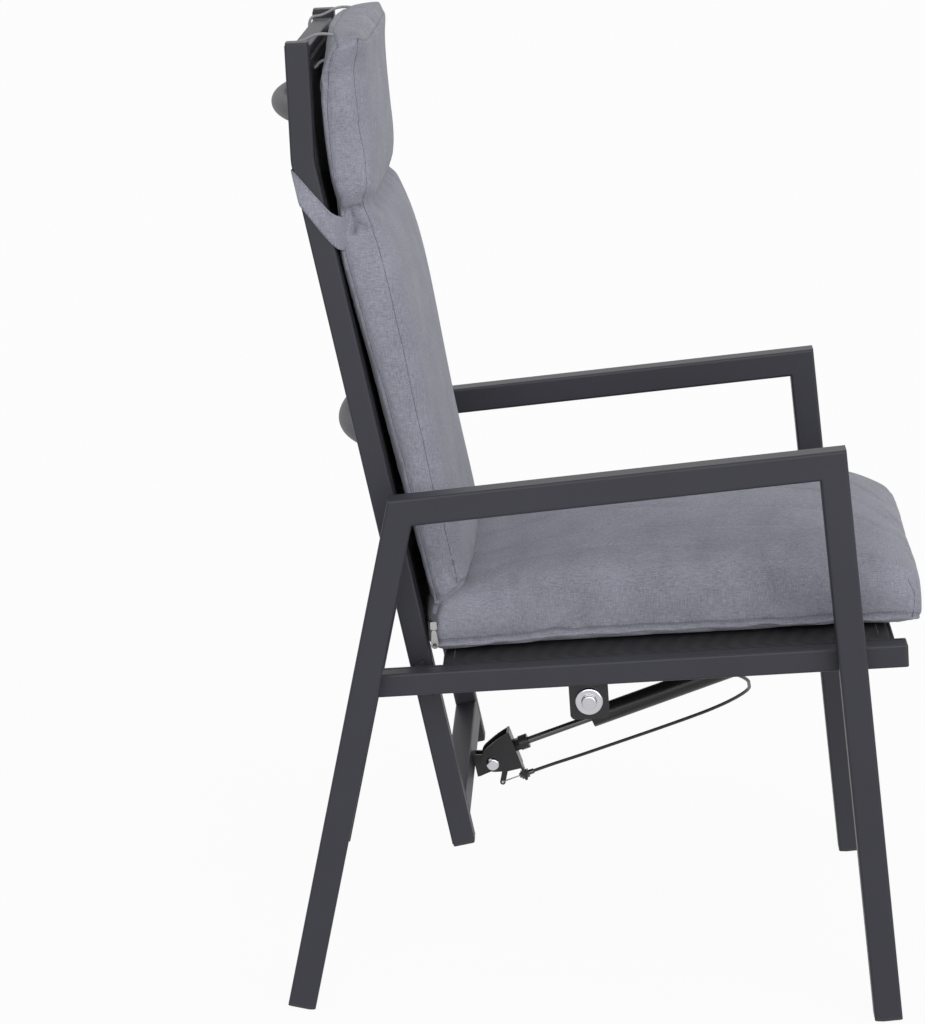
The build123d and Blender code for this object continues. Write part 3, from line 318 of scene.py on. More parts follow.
def press(mesh, line, width, depth, pucker=0.0, pitch=0.012):
    """Draws a surface in along a line, with puckers of that pitch across it."""
    points = points_of(mesh)
    corners = np.array([tuple(point) for point in line])
    reach = 4.0 * width
    inside = (points > corners.min(0) - reach).all(1) & (points < corners.max(0) + reach).all(1)
    near = points[inside]
    gap = np.full(len(near), 1.0)
    along = np.zeros(len(near))
    walked = 0.0
    for start, end in zip(corners, corners[1:]):
        step = end - start
        length = max(np.linalg.norm(step), 1e-9)
        share = np.clip((near - start) @ step / length ** 2, 0, 1)
        apart = np.linalg.norm(near - start - share[:, None] * step, axis=1)
        closer = apart < gap
        gap[closer] = apart[closer]
        along[closer] = walked + share[closer] * length
        walked += length
    waves = np.sin(along / pitch * 2 * math.pi + 1.7 * np.sin(along / pitch * 0.83))
    drawn = depth * np.exp(-(gap / width) ** 2) + pucker * waves * np.exp(-(gap / (2.2 * width)) ** 2)
    points[inside] = near - normals_of(mesh)[inside] * drawn[:, None]
    move_points(mesh, points)


def surface_of(mesh):
    """A search tree over a mesh's surface."""
    corners = np.empty(len(mesh.loops), dtype=np.int64)
    mesh.loops.foreach_get("vertex_index", corners)
    sizes = np.empty(len(mesh.polygons), dtype=np.int64)
    mesh.polygons.foreach_get("loop_total", sizes)
    faces = [face.tolist() for face in np.split(corners, np.cumsum(sizes)[:-1])]
    return BVHTree.FromPolygons(points_of(mesh).tolist(), faces)


def lay(surface, line, lift=0.0, step=0.006, smoothing=0):
    """A line divided into short steps, smoothed that many times and laid on a surface."""
    found = []
    for start, end in zip(line, line[1:]):
        count = max(1, round((end - start).length / step))
        found += [start.lerp(end, index / count) for index in range(count)]
    found.append(line[-1])
    for _ in range(smoothing):
        found = [surface.find_nearest(point)[0] for point in found]
        found[1:-1] = [(before + point * 2 + after) / 4 for before, point, after in zip(found, found[1:], found[2:])]
    laid = []
    for point in found:
        near, normal, _, _ = surface.find_nearest(point)
        laid.append(near + normal * lift)
    return laid


def tube(name, line, radius, finish, body, closed=False, smooth=True):
    """A round cord along a line, as a NURBS curve."""
    curve = bpy.data.curves.new(name, "CURVE")
    curve.dimensions = "3D"
    curve.bevel_depth = radius
    curve.bevel_resolution = 4
    curve.resolution_u = 6
    curve.use_fill_caps = True
    spline = curve.splines.new("NURBS")
    spline.points.add(len(line) - 1)
    for point, where in zip(spline.points, line):
        point.co = (*where, 1.0)
    spline.order_u = 3 if smooth else 2
    spline.use_endpoint_u = not closed
    spline.use_cyclic_u = closed
    return piece_of(name, curve, finish, body)


def solid_tube(name, line, radius, finish, body):
    """A round cord as a mesh."""
    cord = tube(name, line, radius, finish, None)
    mesh = bpy.data.meshes.new_from_object(cord.evaluated_get(bpy.context.evaluated_depsgraph_get()))
    bpy.data.objects.remove(cord)
    smooth_shade(mesh)
    return piece_of(name, mesh, finish, body)


def stitches(name, line, finish, body, pitch=4.2 * MM, length=3.0 * MM, radius=0.35 * MM):
    """A row of raised stitches along a line, all in one mesh."""
    made = bmesh.new()
    walked = 0.0
    place_next = pitch / 2
    for start, end in zip(line, line[1:]):
        run = (end - start).length
        while run > 0 and place_next < walked + run:
            middle = start.lerp(end, (place_next - walked) / run)
            turn = ACROSS.rotation_difference((end - start).normalized())
            size = Matrix.Diagonal((length / 2, radius, radius, 1.0))
            where = Matrix.Translation(middle) @ turn.to_matrix().to_4x4() @ size
            bmesh.ops.create_icosphere(made, subdivisions=1, radius=1.0, matrix=where)
            place_next += pitch
        walked += run
    mesh = bpy.data.meshes.new(name)
    made.to_mesh(mesh)
    made.free()
    smooth_shade(mesh)
    return piece_of(name, mesh, finish, body)


def ribbon(name, rows, thickness, finish, body, levels=2):
    """A flat band through rows of points across it, thickened and smoothed."""
    made = bmesh.new()
    strips = [[made.verts.new(point) for point in row] for row in rows]
    for first, second in zip(strips, strips[1:]):
        for index in range(len(first) - 1):
            made.faces.new((first[index], first[index + 1], second[index + 1], second[index]))
    bmesh.ops.recalc_face_normals(made, faces=made.faces)
    mesh = bpy.data.meshes.new(name)
    made.to_mesh(mesh)
    made.free()
    piece = piece_of(name, mesh, finish, None)
    if thickness:
        solid = piece.modifiers.new("thickness", "SOLIDIFY")
        solid.thickness = thickness
        solid.offset = 0.0
    rounding = piece.modifiers.new("rounding", "SUBSURF")
    rounding.levels = levels
    rounding.render_levels = levels
    bake(piece)
    smooth_shade(piece.data)
    if body:
        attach(piece, body)
    return piece


# Cushions: the solid's copy, reshaped and drawn in, then blown up by cloth simulation with slack fabric
VOXEL = 0.005
CLOTH_STEPS = 20
CLOTH_PRESSURE = 4.0
FABRIC_SLACK = 0.015


def round_corners(points, radius, first, first_ends, second, second_ends, origin):
    """Rounds the four upright corners of a box-like form, seen along the third direction."""
    offset = points - np.array(origin)
    places = []
    for direction, (low, high) in ((first, first_ends), (second, second_ends)):
        spot = offset @ np.array(direction)
        places.append(np.maximum(spot - (high - radius), 0) + np.minimum(spot - (low + radius), 0))
    widest = np.maximum(np.abs(places[0]), np.abs(places[1]))
    across = np.hypot(places[0], places[1])
    share = np.where(across > 1e-9, widest / np.maximum(across, 1e-9), 1.0) - 1.0
    return points + np.outer(places[0] * share, first) + np.outer(places[1] * share, second)


def stuffed(node, name, form, reach, corners):
    """A cushion from its solid, round at its corners: shaped by form, then swelled by at most reach."""
    mesh = solids[node].data.copy()
    made = bmesh.new()
    made.from_mesh(mesh)
    bmesh.ops.remove_doubles(made, verts=made.verts, dist=0.01 * MM)
    made.to_mesh(mesh)
    made.free()
    piece = piece_of(name, mesh, "cushion_fabric")
    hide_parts(node)
    remesh = piece.modifiers.new("remesh", "REMESH")
    remesh.mode = "VOXEL"
    remesh.voxel_size = VOXEL
    bake(piece)
    start = form(round_corners(points_of(piece.data), *corners), 1.0)
    move_points(piece.data, start)
    smooth_shade(piece.data)
    cloth = piece.modifiers.new("cloth", "CLOTH")
    cloth.settings.quality = 5
    cloth.settings.mass = 0.3
    cloth.settings.tension_stiffness = 15.0
    cloth.settings.compression_stiffness = 15.0
    cloth.settings.shear_stiffness = 5.0
    cloth.settings.bending_stiffness = 0.5
    cloth.settings.use_pressure = True
    cloth.settings.uniform_pressure_force = CLOTH_PRESSURE
    cloth.settings.shrink_min = -FABRIC_SLACK
    cloth.settings.effector_weights.gravity = 0.0
    cloth.point_cache.frame_start = 1
    cloth.point_cache.frame_end = CLOTH_STEPS
    for step in range(1, CLOTH_STEPS + 1):
        scene.frame_set(step)
    bake(piece)
    scene.frame_set(1)
    moved = points_of(piece.data) - start
    length = np.maximum(np.linalg.norm(moved, axis=1), 1e-9)
    limit = reach(start, normals_of(piece.data))
    move_points(piece.data, start + moved * (limit * np.tanh(length / limit) / length)[:, None])
    finer = piece.modifiers.new("finer", "SUBSURF")
    finer.levels = 1
    finer.render_levels = 1
    bake(piece)
    smooth_shade(piece.data)
    return piece


def swell(most, least, direction):
    """A limit for each point's swelling: most, but least where the cushion rests on something on that side."""
    def limit(points, normals):
        return most - (most - least) * np.clip(normals @ np.array(direction), 0, 1)
    return limit


def refine(mesh, centres, radius):
    """Divides a surface's faces once more near some points."""
    made = bmesh.new()
    made.from_mesh(mesh)
    near = [edge for edge in made.edges
            if any((edge.verts[0].co - centre).length < radius and (edge.verts[1].co - centre).length < radius
                   for centre in centres)]
    bmesh.ops.subdivide_edges(made, edges=near, cuts=1, use_grid_fill=True)
    made.to_mesh(mesh)
    made.free()
    smooth_shade(mesh)


# Seat cushion: hem below, a seam up each corner, zip along its rear, soft creases from front to back
SEAT_REAR = 0.078
SEAT_FRONT = 0.606
SEAT_HALF = 0.210
SEAT_BASE = RAIL_DEPTH + 0.004
SEAT_CORNER = 0.015
SEAT_MIDDLE = (SEAT_REAR + SEAT_FRONT) / 2
SEAT_TIGHT = 0.0065
SEAT_STRETCH = 0.005
SEAT_TILT = 0.004
SEAT_LOFT = 0.007
SEAT_CORNER_DRAW = 0.009
SEAT_TOP_TIGHT = 0.005
SEAT_SWELL = 9.0 * MM
SEAT_REST_SWELL = 0.3 * MM
HEM_LIFT = 0.006
FRONT_SEAM_TOP = 0.052
REAR_SEAM_TOP = 0.036
ZIP_UP = 0.032
ZIP_HALF_TAPE = 0.010
ZIP_BEND = 0.018
ZIP_CORNER = 0.004
PIPE = 0.42 * MM
SEAM_SUNK = -0.15 * MM

# Grooves, as width, depth, height of their puckers and the puckers' pitch
HEM_GROOVE = (2.4 * MM, 2.0 * MM, 0.25 * MM, 0.023)
CORNER_GROOVE = (2.6 * MM, 1.5 * MM, 0.12 * MM, 0.014)
CREASE_WIDTH = 6.0 * MM
CREASE_ABOVE = 0.13
CREASE_BEND = 0.006

# Height of the solid's upper edge, and of the stuffed cushion's, above the rail's bottom, as (along, height)
SOLID_RIDGE = ((0.078, 0.075), (0.124, 0.087), (0.170, 0.095))
SEAT_RIDGE = ((0.060, 0.080), (0.090, 0.088), (0.153, 0.097), (0.249, 0.105), (0.332, 0.112), (0.443, 0.114),
              (0.520, 0.110), (0.565, 0.104), (0.590, 0.096), (0.606, 0.087), (0.620, 0.080))

# Long soft creases on the seat, as (along, lateral) ends, with their depth
SEAT_CREASES = (
    ((0.15, -0.15), (0.40, -0.165), 3.0 * MM),
    ((0.12, -0.10), (0.47, -0.125), 2.6 * MM),
    ((0.13, -0.03), (0.36, -0.05), 2.8 * MM),
    ((0.20, 0.05), (0.50, 0.03), 2.4 * MM),
    ((0.14, 0.12), (0.42, 0.14), 2.6 * MM),
    ((0.44, 0.02), (0.60, -0.03), 2.6 * MM),
    ((0.43, -0.06), (0.59, -0.10), 2.4 * MM),
    ((0.50, 0.09), (0.60, 0.05), 2.2 * MM),
)


def smoothed(places, stops, window=0.03):
    """Heights at some places from (place, height) stops, with the corners between them rounded off."""
    at, height = zip(*stops)
    return sum(np.interp(places + window * share, at, height) for share in np.linspace(-1, 1, 9)) / 9


def seat_form(points, tight):
    """The seat cushion's form: its edge rises to the middle; drawn in by tight where stuffing will fill it."""
    offset = points - np.array(on_rail(0, 0))
    along, up, lateral = (offset @ np.array(direction) for direction in (RAIL_ALONG, RAIL_UP, ACROSS))
    share = (up - SEAT_BASE) / (np.interp(along, *zip(*SOLID_RIDGE)) - SEAT_BASE)
    height = smoothed(along, SEAT_RIDGE) - SEAT_BASE - SEAT_TOP_TIGHT * tight
    beside = lateral / SEAT_HALF
    ahead = (along - SEAT_MIDDLE) / (SEAT_FRONT - SEAT_MIDDLE)
    loft = SEAT_LOFT * (1 - beside ** 6) * (1 - ahead ** 6) + SEAT_TILT * beside
    up = np.where(share < 0, up, SEAT_BASE + share * (height + loft))
    cornered = np.clip(share, 0, 1) ** 2 * ahead ** 8 * beside ** 6 * SEAT_CORNER_DRAW
    lateral = lateral * (1 - tight * SEAT_TIGHT / SEAT_HALF) - cornered * np.sign(beside)
    along = along + ahead * SEAT_STRETCH - cornered * np.sign(ahead)
    return (np.array(on_rail(0, 0)) + np.outer(along, RAIL_ALONG) + np.outer(up, RAIL_UP)
            + np.outer(lateral, ACROSS))


def seat_round(up):
    """The way round the seat cushion at that height, with rounded corners, from its right rear corner."""
    corners = ((SEAT_REAR, -SEAT_HALF), (SEAT_FRONT, -SEAT_HALF), (SEAT_FRONT, SEAT_HALF), (SEAT_REAR, SEAT_HALF))
    way = []
    for index, (along, lateral) in enumerate(corners):
        centre_along = along + math.copysign(SEAT_CORNER, SEAT_MIDDLE - along)
        centre_lateral = lateral - math.copysign(SEAT_CORNER, lateral)
        for step in range(7):
            turn = math.radians(180 + 90 * index + 15 * step)
            way.append(on_rail(centre_along + SEAT_CORNER * math.cos(turn), SEAT_BASE + up,
                               centre_lateral + SEAT_CORNER * math.sin(turn)))
    return [*way, way[0]]


seat_cover = stuffed(
    "seat_cushion", "seat_cushion_cover", seat_form, swell(SEAT_SWELL, SEAT_REST_SWELL, -RAIL_UP),
    (SEAT_CORNER, RAIL_ALONG, (SEAT_REAR, SEAT_FRONT), ACROSS, (-SEAT_HALF, SEAT_HALF), on_rail(0, 0)))
seat_surface = surface_of(seat_cover.data)
seat_corners = {}
for side_name, side in SIDES:
    for end_name, along, top in (("front", SEAT_FRONT, FRONT_SEAM_TOP), ("rear", SEAT_REAR, REAR_SEAM_TOP)):
        seat_corners[f"{side_name}_seat_{end_name}_corner"] = [
            on_rail(along, SEAT_BASE + up, side * SEAT_HALF) for up in (HEM_LIFT, top)]
grooves = [(lay(seat_surface, seat_round(HEM_LIFT), smoothing=2), *HEM_GROOVE)]
grooves += [(lay(seat_surface, line, smoothing=3), *CORNER_GROOVE) for line in seat_corners.values()]
for (rear, rear_side), (front, front_side), depth in SEAT_CREASES:
    crease = [on_rail(rear, CREASE_ABOVE, rear_side),
              on_rail((rear + front) / 2, CREASE_ABOVE, (rear_side + front_side) / 2 + CREASE_BEND),
              on_rail(front, CREASE_ABOVE, front_side)]
    grooves.append((lay(seat_surface, crease, smoothing=3), CREASE_WIDTH, depth))
for groove in grooves:
    press(seat_cover.data, *groove)
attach(seat_cover, "frame")

seat_surface = surface_of(seat_cover.data)
tube("seat_hem_lip", lay(seat_surface, seat_round(HEM_LIFT - 0.003), -0.6 * MM, smoothing=3)[:-1], 1.7 * MM,
     "cushion_fabric", "frame", closed=True)
stitches("seat_hem_stitches", lay(seat_surface, seat_round(HEM_LIFT + 0.002), 0.1 * MM, smoothing=2), "stitching",
         "frame")
for name, line in seat_corners.items():
    tube(name + "_seam", lay(seat_surface, line, SEAM_SUNK, smoothing=3), PIPE, "stitching", "frame")

# Zip along the rear of the seat cushion to the slider at its right corner
zip_path = [on_rail(SEAT_REAR + ZIP_CORNER, SEAT_BASE + ZIP_UP, -SEAT_HALF + ZIP_CORNER),
            on_rail(SEAT_REAR, SEAT_BASE + ZIP_UP, -SEAT_HALF + ZIP_BEND),
            on_rail(SEAT_REAR, SEAT_BASE + ZIP_UP, SEAT_HALF - ZIP_BEND)]
zip_rows = []
for point in lay(seat_surface, zip_path):
    zip_rows.append([lay(seat_surface, [point + RAIL_UP * ZIP_HALF_TAPE * share], 0.4 * MM)[0]
                     for share in (-1, -0.5, 0, 0.5, 1)])
ribbon("seat_zip_tape", zip_rows, 0.5 * MM, "zip_tape", "frame", levels=1)
stitches("seat_zip_teeth", lay(seat_surface, zip_path, 0.9 * MM), "foot_plastic", "frame", pitch=1.9 * MM,
         length=1.2 * MM, radius=1.5 * MM)

# Back cushion: boxed, pinched at its waist by the strap, with a head roll above
FOOT_REAR = (0.274, 0.039)
FOOT_FRONT = (0.2845, 0.079)
WAIST = 0.706
WAIST_REAR = (WAIST, 0.033)
WAIST_FRONT = (WAIST, 0.069)
WAIST_HALF = 0.194
HEAD_TOP = 0.934
FOOT_EDGE = 0.279
BACK_MIDDLE = 0.06
HEAD_REAR = (0.902, 0.047)
HEAD_FRONT = (0.902, 0.103)
BACK_CORNER = 0.020
PINCH = (0.700, 0.047)
PINCH_REACH = 11.0 * MM
PINCH_DEPTH = 6.0 * MM
BOTTOM_TUCK = (0.300, 0.074)
TUCK_REACH = 9.0 * MM
TUCK_DEPTH = 1.5 * MM
GATHERED = 0.25
REFINED = (0.030, 0.020)
BACK_SWELL = 7.5 * MM
BACK_REST_SWELL = 0.4 * MM
REAR_SEAM_BOW = -0.005
FRONT_SEAM_BOW = 0.002
WAIST_FOLD_OUT = 0.006

# Grooves, as width, depth, height of their puckers and the puckers' pitch
WAIST_GROOVE = (9.0 * MM, 5.0 * MM, 0.8 * MM, 0.045)
SEAM_GROOVE = (2.6 * MM, 1.1 * MM, 0.10 * MM, 0.019)
PUCKERED_GROOVE = (2.6 * MM, 1.1 * MM, 0.30 * MM, 0.019)

# Folds that fan out from a pinch, as (forward, up) ends in millimetres, with their width and depth
PINCH_FOLDS = (
    ((-6, 8), (13, 10), 2.8, 5.0),
    ((0, 2), (1, 11), 2.4, 2.5),
    ((0, -3), (-1, -13), 3.0, 5.0),
    ((3, -3), (16, -12), 2.0, 2.2),
    ((-3, 0), (-12, 1), 2.0, 1.8),
    ((-3, -2), (-10, -9), 1.9, 1.6),
)
TUCK_FOLDS = (
    ((-2, 4), (3, 12), 1.8, 1.6),
    ((-3, -2), (4, -9), 1.8, 1.8),
    ((-7, 3), (-2, 1), 1.6, 1.4),
)


def pinch(mesh, centre, radius, depth, folds):
    """Gathers a surface into a point, with folds that fan out from it."""
    points = points_of(mesh)
    offset = points - np.array(centre)
    near = np.exp(-(np.linalg.norm(offset, axis=1) / radius) ** 2)
    move_points(mesh, points - offset * (GATHERED * near)[:, None] - normals_of(mesh) * (depth * near)[:, None])
    surface = surface_of(mesh)
    for start, end, width, sunk in folds:
        line = [centre + BACK_OUT * forward * MM + BACK_UP * up * MM for forward, up in (start, end)]
        press(mesh, lay(surface, line, step=0.002), width * MM, sunk * MM)


BACK_TIGHT = 0.0055
BACK_SIDE_TIGHT = 0.005
REAR_CLEAR = 0.0015
WAIST_REST = 0.013
REST_STOPS = ((0.42, 0.55, 0.66, 0.69, 0.72), (0.0, 0.45, 1.0, 0.9, 0.0))
FOOT_REACH = 0.33
FOOT_DROP = 0.012
HEAD_LEAN = 0.84
HEAD_LOWERED = 0.022
HEAD_CORNERS_LOWERED = 0.010
HEAD_TIGHT = 0.004
HEAD_ROLL = 0.027
HEAD_ROLL_FRONT_LESS = 0.012
HEAD_ROLL_MIDDLE = 0.3
TOP_UP = (on_back(0.9, 0) - on_back(0.8, 0)).normalized()
TOP_OUT = (on_back(0.9, 0.01) - on_back(0.9, 0)).normalized()


def back_form(points, tight):
    """The back cushion's form: low foot, round head; drawn in by tight where stuffing will fill it."""
    offset = points - np.array(on_back(0, 0))
    along, out, lateral = (offset @ np.array(direction) for direction in (BACK_UP, BACK_OUT, ACROSS))
    lean = math.tan(BACK_ANGLE - TOP_ANGLE)
    depth = out - FOOT_REAR[1] - lean * np.maximum(along - STILE_LOWER, 0)
    front = np.clip(depth / (FOOT_FRONT[1] - FOOT_REAR[1]), 0, 1.3)
    edge = np.clip(np.abs(lateral) / STILE_OUTER, 0, 1) ** 2
    foot = np.clip((FOOT_REACH - along) / (FOOT_REACH - FOOT_REAR[0]), 0, 1)
    head = np.clip((along - HEAD_LEAN) / (HEAD_TOP - HEAD_LEAN), 0, 1)
    down = np.outer(foot * FOOT_DROP * tight, -BACK_UP)
    lowered = np.outer(head * (HEAD_LOWERED + HEAD_CORNERS_LOWERED * edge + HEAD_TIGHT * tight), -TOP_UP)
    roll = (HEAD_ROLL_MIDDLE + (1 - HEAD_ROLL_MIDDLE) * edge) * (HEAD_ROLL - HEAD_ROLL_FRONT_LESS * front)
    rolled = np.outer(head ** 2 * roll, TOP_OUT)
    below_waist = np.interp(along, *REST_STOPS) * edge * WAIST_REST
    drawn = np.outer((1 - front) * (REAR_CLEAR - below_waist) - front * BACK_TIGHT * tight, BACK_OUT)
    drawn -= np.outer(lateral * tight * BACK_SIDE_TIGHT / STILE_OUTER, ACROSS)
    return points + down + lowered + rolled + drawn


back_ends = tuple((on_back(along, BACK_MIDDLE) - on_back(0, 0)).dot(BACK_UP) for along in (FOOT_EDGE, HEAD_TOP))
back_cover = stuffed(
    "back_cushion", "back_cushion_cover", back_form, swell(BACK_SWELL, BACK_REST_SWELL, -BACK_OUT),
    (BACK_CORNER, BACK_UP, back_ends, ACROSS, (-STILE_OUTER, STILE_OUTER), on_back(0, 0)))
seam_lines = {}
for side_name, side in SIDES:
    half = side * STILE_OUTER
    waist_half = side * WAIST_HALF
    for edge_name, foot, waist, head, bow in (("rear", FOOT_REAR, WAIST_REAR, HEAD_REAR, REAR_SEAM_BOW),
                                              ("front", FOOT_FRONT, WAIST_FRONT, HEAD_FRONT, FRONT_SEAM_BOW)):
        seam_lines[f"{side_name}_{edge_name}_lower_seam"] = [
            on_back(*foot, half), on_back((foot[0] + WAIST) / 2, (foot[1] + waist[1]) / 2 + bow / 2, half),
            on_back(*waist, waist_half)]
        seam_lines[f"{side_name}_{edge_name}_head_seam"] = [
            on_back(*waist, waist_half), on_back((head[0] + WAIST) / 2, (head[1] + waist[1]) / 2 + bow, half),
            on_back(*head, half)]
for end_name, rear_spot, front_spot in (("foot", FOOT_REAR, FOOT_FRONT), ("top", HEAD_REAR, HEAD_FRONT)):
    for edge_name, spot in (("rear", rear_spot), ("front", front_spot)):
        seam_lines[f"back_{edge_name}_{end_name}_seam"] = [on_back(*spot, side * STILE_OUTER) for _, side in SIDES]
back_surface = surface_of(back_cover.data)
waist_fold = [on_back(WAIST, WAIST_FRONT[1] + WAIST_FOLD_OUT, lateral) for lateral in (-WAIST_HALF, 0.0, WAIST_HALF)]
grooves = [(lay(back_surface, waist_fold, smoothing=2), *WAIST_GROOVE)]
for name, line in seam_lines.items():
    seam_lines[name] = lay(back_surface, line, smoothing=4)
    grooves.append((seam_lines[name], *(PUCKERED_GROOVE if "front_lower" in name else SEAM_GROOVE)))
gathers = []
for _, side in SIDES:
    for spot, half, reach, depth, folds in ((PINCH, WAIST_HALF, PINCH_REACH, PINCH_DEPTH, PINCH_FOLDS),
                                            (BOTTOM_TUCK, STILE_OUTER, TUCK_REACH, TUCK_DEPTH, TUCK_FOLDS)):
        gathers.append((lay(back_surface, [on_back(*spot, side * half)])[0], reach, depth, folds))
for reach in REFINED:
    refine(back_cover.data, [gather[0] for gather in gathers], reach)
for groove in grooves:
    press(back_cover.data, *groove)
for gather in gathers:
    pinch(back_cover.data, *gather)
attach(back_cover, "backrest")
back_surface = surface_of(back_cover.data)
for name, line in seam_lines.items():
    tube(name, lay(back_surface, line, SEAM_SUNK, smoothing=1), PIPE, "stitching", "backrest")

# Slings of textile mesh, drawn tight between the keder channels, with sewn hems
SLING_THICKNESS = 1.2 * MM
SLING_LIFT = 0.4 * MM
SLING_STEPS = 24
KEDER_INSET = 0.007
KEDER_DROP = -4.0 * MM


def sling_row(at, half_span, sag):
    """Points across a sling: into each channel at the ends, sagging between; at(lateral, lift) places a point."""
    row = [at(-half_span, KEDER_DROP)]
    for index in range(SLING_STEPS + 1):
        lateral = half_span * (2 * index / SLING_STEPS - 1)
        row.append(at(lateral, SLING_LIFT + SLING_THICKNESS / 2 - sag * (1 - (lateral / half_span) ** 2)))
    row.append(at(half_span, KEDER_DROP))
    return row


SEAT_SLING = (0.091, 0.571)
SEAT_SAG = 0.003
seat_span = RAIL_INNER + KEDER_INSET
BACK_SLING = (0.228, 0.880)
BACK_SAG = 0.006
back_span = STILE_INNER + KEDER_INSET
BEND_EASE = 0.005
TOP_TAUT = 0.06


def seat_rows(start, end, lift=0.0, steps=24):
    """Rows across the seat sling."""
    places = [start + (end - start) * step / steps for step in range(steps + 1)]
    return [sling_row(lambda lateral, up: on_rail(along, RAIL_DEPTH + up + lift, lateral), seat_span, SEAT_SAG)
            for along in places]


def back_rows(start, end, lift=0.0, steps=30):
    """Rows across the back sling, leaving out the stiles' bend."""
    places = [start + (end - start) * step / steps for step in range(steps + 1)]
    places = [along for along in places if abs(along - STILE_LOWER) > BEND_EASE]
    return [sling_row(lambda lateral, out: on_back(along, STILE_DEPTH + out + lift, lateral), back_span,
                      BACK_SAG * min(1.0, (BACK_SLING[1] - along) / TOP_TAUT)) for along in places]


HEM = 0.018
seat_mesh = ribbon("seat_mesh", seat_rows(*SEAT_SLING), SLING_THICKNESS, "sling_mesh", "frame", levels=1)
back_mesh = ribbon("back_mesh", back_rows(*BACK_SLING), SLING_THICKNESS, "sling_mesh", "backrest", levels=1)
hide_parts("seat_sling")
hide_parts("back_sling")
for name, rows, body, line_rows in (
        ("seat_rear_hem", seat_rows(SEAT_SLING[0], SEAT_SLING[0] + HEM, -SLING_THICKNESS, 3), "frame", 2),
        ("seat_front_hem", seat_rows(SEAT_SLING[1] - HEM, SEAT_SLING[1], -SLING_THICKNESS, 3), "frame", 1),
        ("back_low_hem", back_rows(BACK_SLING[0], BACK_SLING[0] + HEM, -SLING_THICKNESS, 3), "backrest", 2),
        ("back_top_hem", back_rows(BACK_SLING[1] - HEM, BACK_SLING[1], -SLING_THICKNESS, 3), "backrest", 1)):
    inner = [row[2:-2] for row in rows]
    ribbon(name, inner, SLING_THICKNESS, "sling_mesh", body, levels=1)
    up = RAIL_UP if body == "frame" else BACK_OUT
    line = [point + up * (SLING_THICKNESS * 1.6) for point in inner[line_rows]]
    stitches(name + "_stitches", line, "stitching", body)
    line = [point - up * (SLING_THICKNESS * 0.6) for point in inner[line_rows]]
    stitches(name + "_stitches_under", line, "stitching", body)

# Strap from the waist's pinches, round the stiles and across behind them
STRAP_X = STILE_OUTER + 1.1 * MM
STRAP_BEHIND = -1.3 * MM
STRAP_REAR = 0.749
STRAP_HALF = 0.013


def strap_row(upper, lower, lateral, bow=0.0):
    """Points across the strap between its two edges, each (along, out), bowed away from the chair."""
    row = []
    for share in (0.0, 0.25, 0.5, 0.75, 1.0):
        along = lower[0] + (upper[0] - lower[0]) * share
        out = lower[1] + (upper[1] - lower[1]) * share
        row.append(on_back(along, out, lateral - bow * math.sin(math.pi * share)))
    return row


STRAP_THICKNESS = 1.3 * MM
STRAP_SEAM = 0.75 * MM
SEAM_SHARE = 0.86
sewn = lay(back_surface, [on_back(0.690, 0.034, -WAIST_HALF)])[0].x
half_strap = [
    strap_row((0.6990, 0.047), (0.6640, 0.043), sewn + 0.012),
    strap_row((0.7010, 0.038), (0.6655, 0.0345), sewn + 0.002),
    strap_row((0.7105, 0.0300), (0.6700, 0.0285), -STRAP_X, 0.3 * MM),
    strap_row((0.7225, 0.0235), (0.6810, 0.0205), -STRAP_X, 0.8 * MM),
    strap_row((0.740, 0.0136), (0.702, 0.0100), -STRAP_X, 0.5 * MM),
    strap_row((0.762, 0.0020), (0.720, 0.0020), -STRAP_X),
    strap_row((0.765, -0.0008), (0.724, -0.0008), -STRAP_X + 0.0004),
    strap_row((0.7655, STRAP_BEHIND), (0.727, STRAP_BEHIND), -STRAP_X + 0.0025),
    strap_row((0.764, STRAP_BEHIND), (0.733, STRAP_BEHIND), -STRAP_X + 0.014),
    strap_row((STRAP_REAR + STRAP_HALF, STRAP_BEHIND), (STRAP_REAR - STRAP_HALF, STRAP_BEHIND), -STILE_INNER),
    strap_row((STRAP_REAR + STRAP_HALF, STRAP_BEHIND), (STRAP_REAR - STRAP_HALF, STRAP_BEHIND), -0.12),
    strap_row((STRAP_REAR + STRAP_HALF - 0.002, STRAP_BEHIND), (STRAP_REAR - STRAP_HALF - 0.002, STRAP_BEHIND),
              -0.05),
]
mirrored = [[Vector((-point.x, point.y, point.z)) for point in row] for row in reversed(half_strap)]
strap_rows = half_strap + mirrored
strap = ribbon("waist_strap", strap_rows, STRAP_THICKNESS, "cushion_fabric", "backrest", levels=2)
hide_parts("cushion_strap")
for edge_name, column in (("upper", 4), ("lower", 0)):
    line = [row[2].lerp(row[column], SEAM_SHARE) for row in strap_rows[2:-2]]
    offset = [(point - on_back(0.72, 0.03)).normalized() * STRAP_SEAM for point in line]
    stitches("strap_" + edge_name + "_stitches", [point + step for point, step in zip(line, offset)], "stitching",
             "backrest")

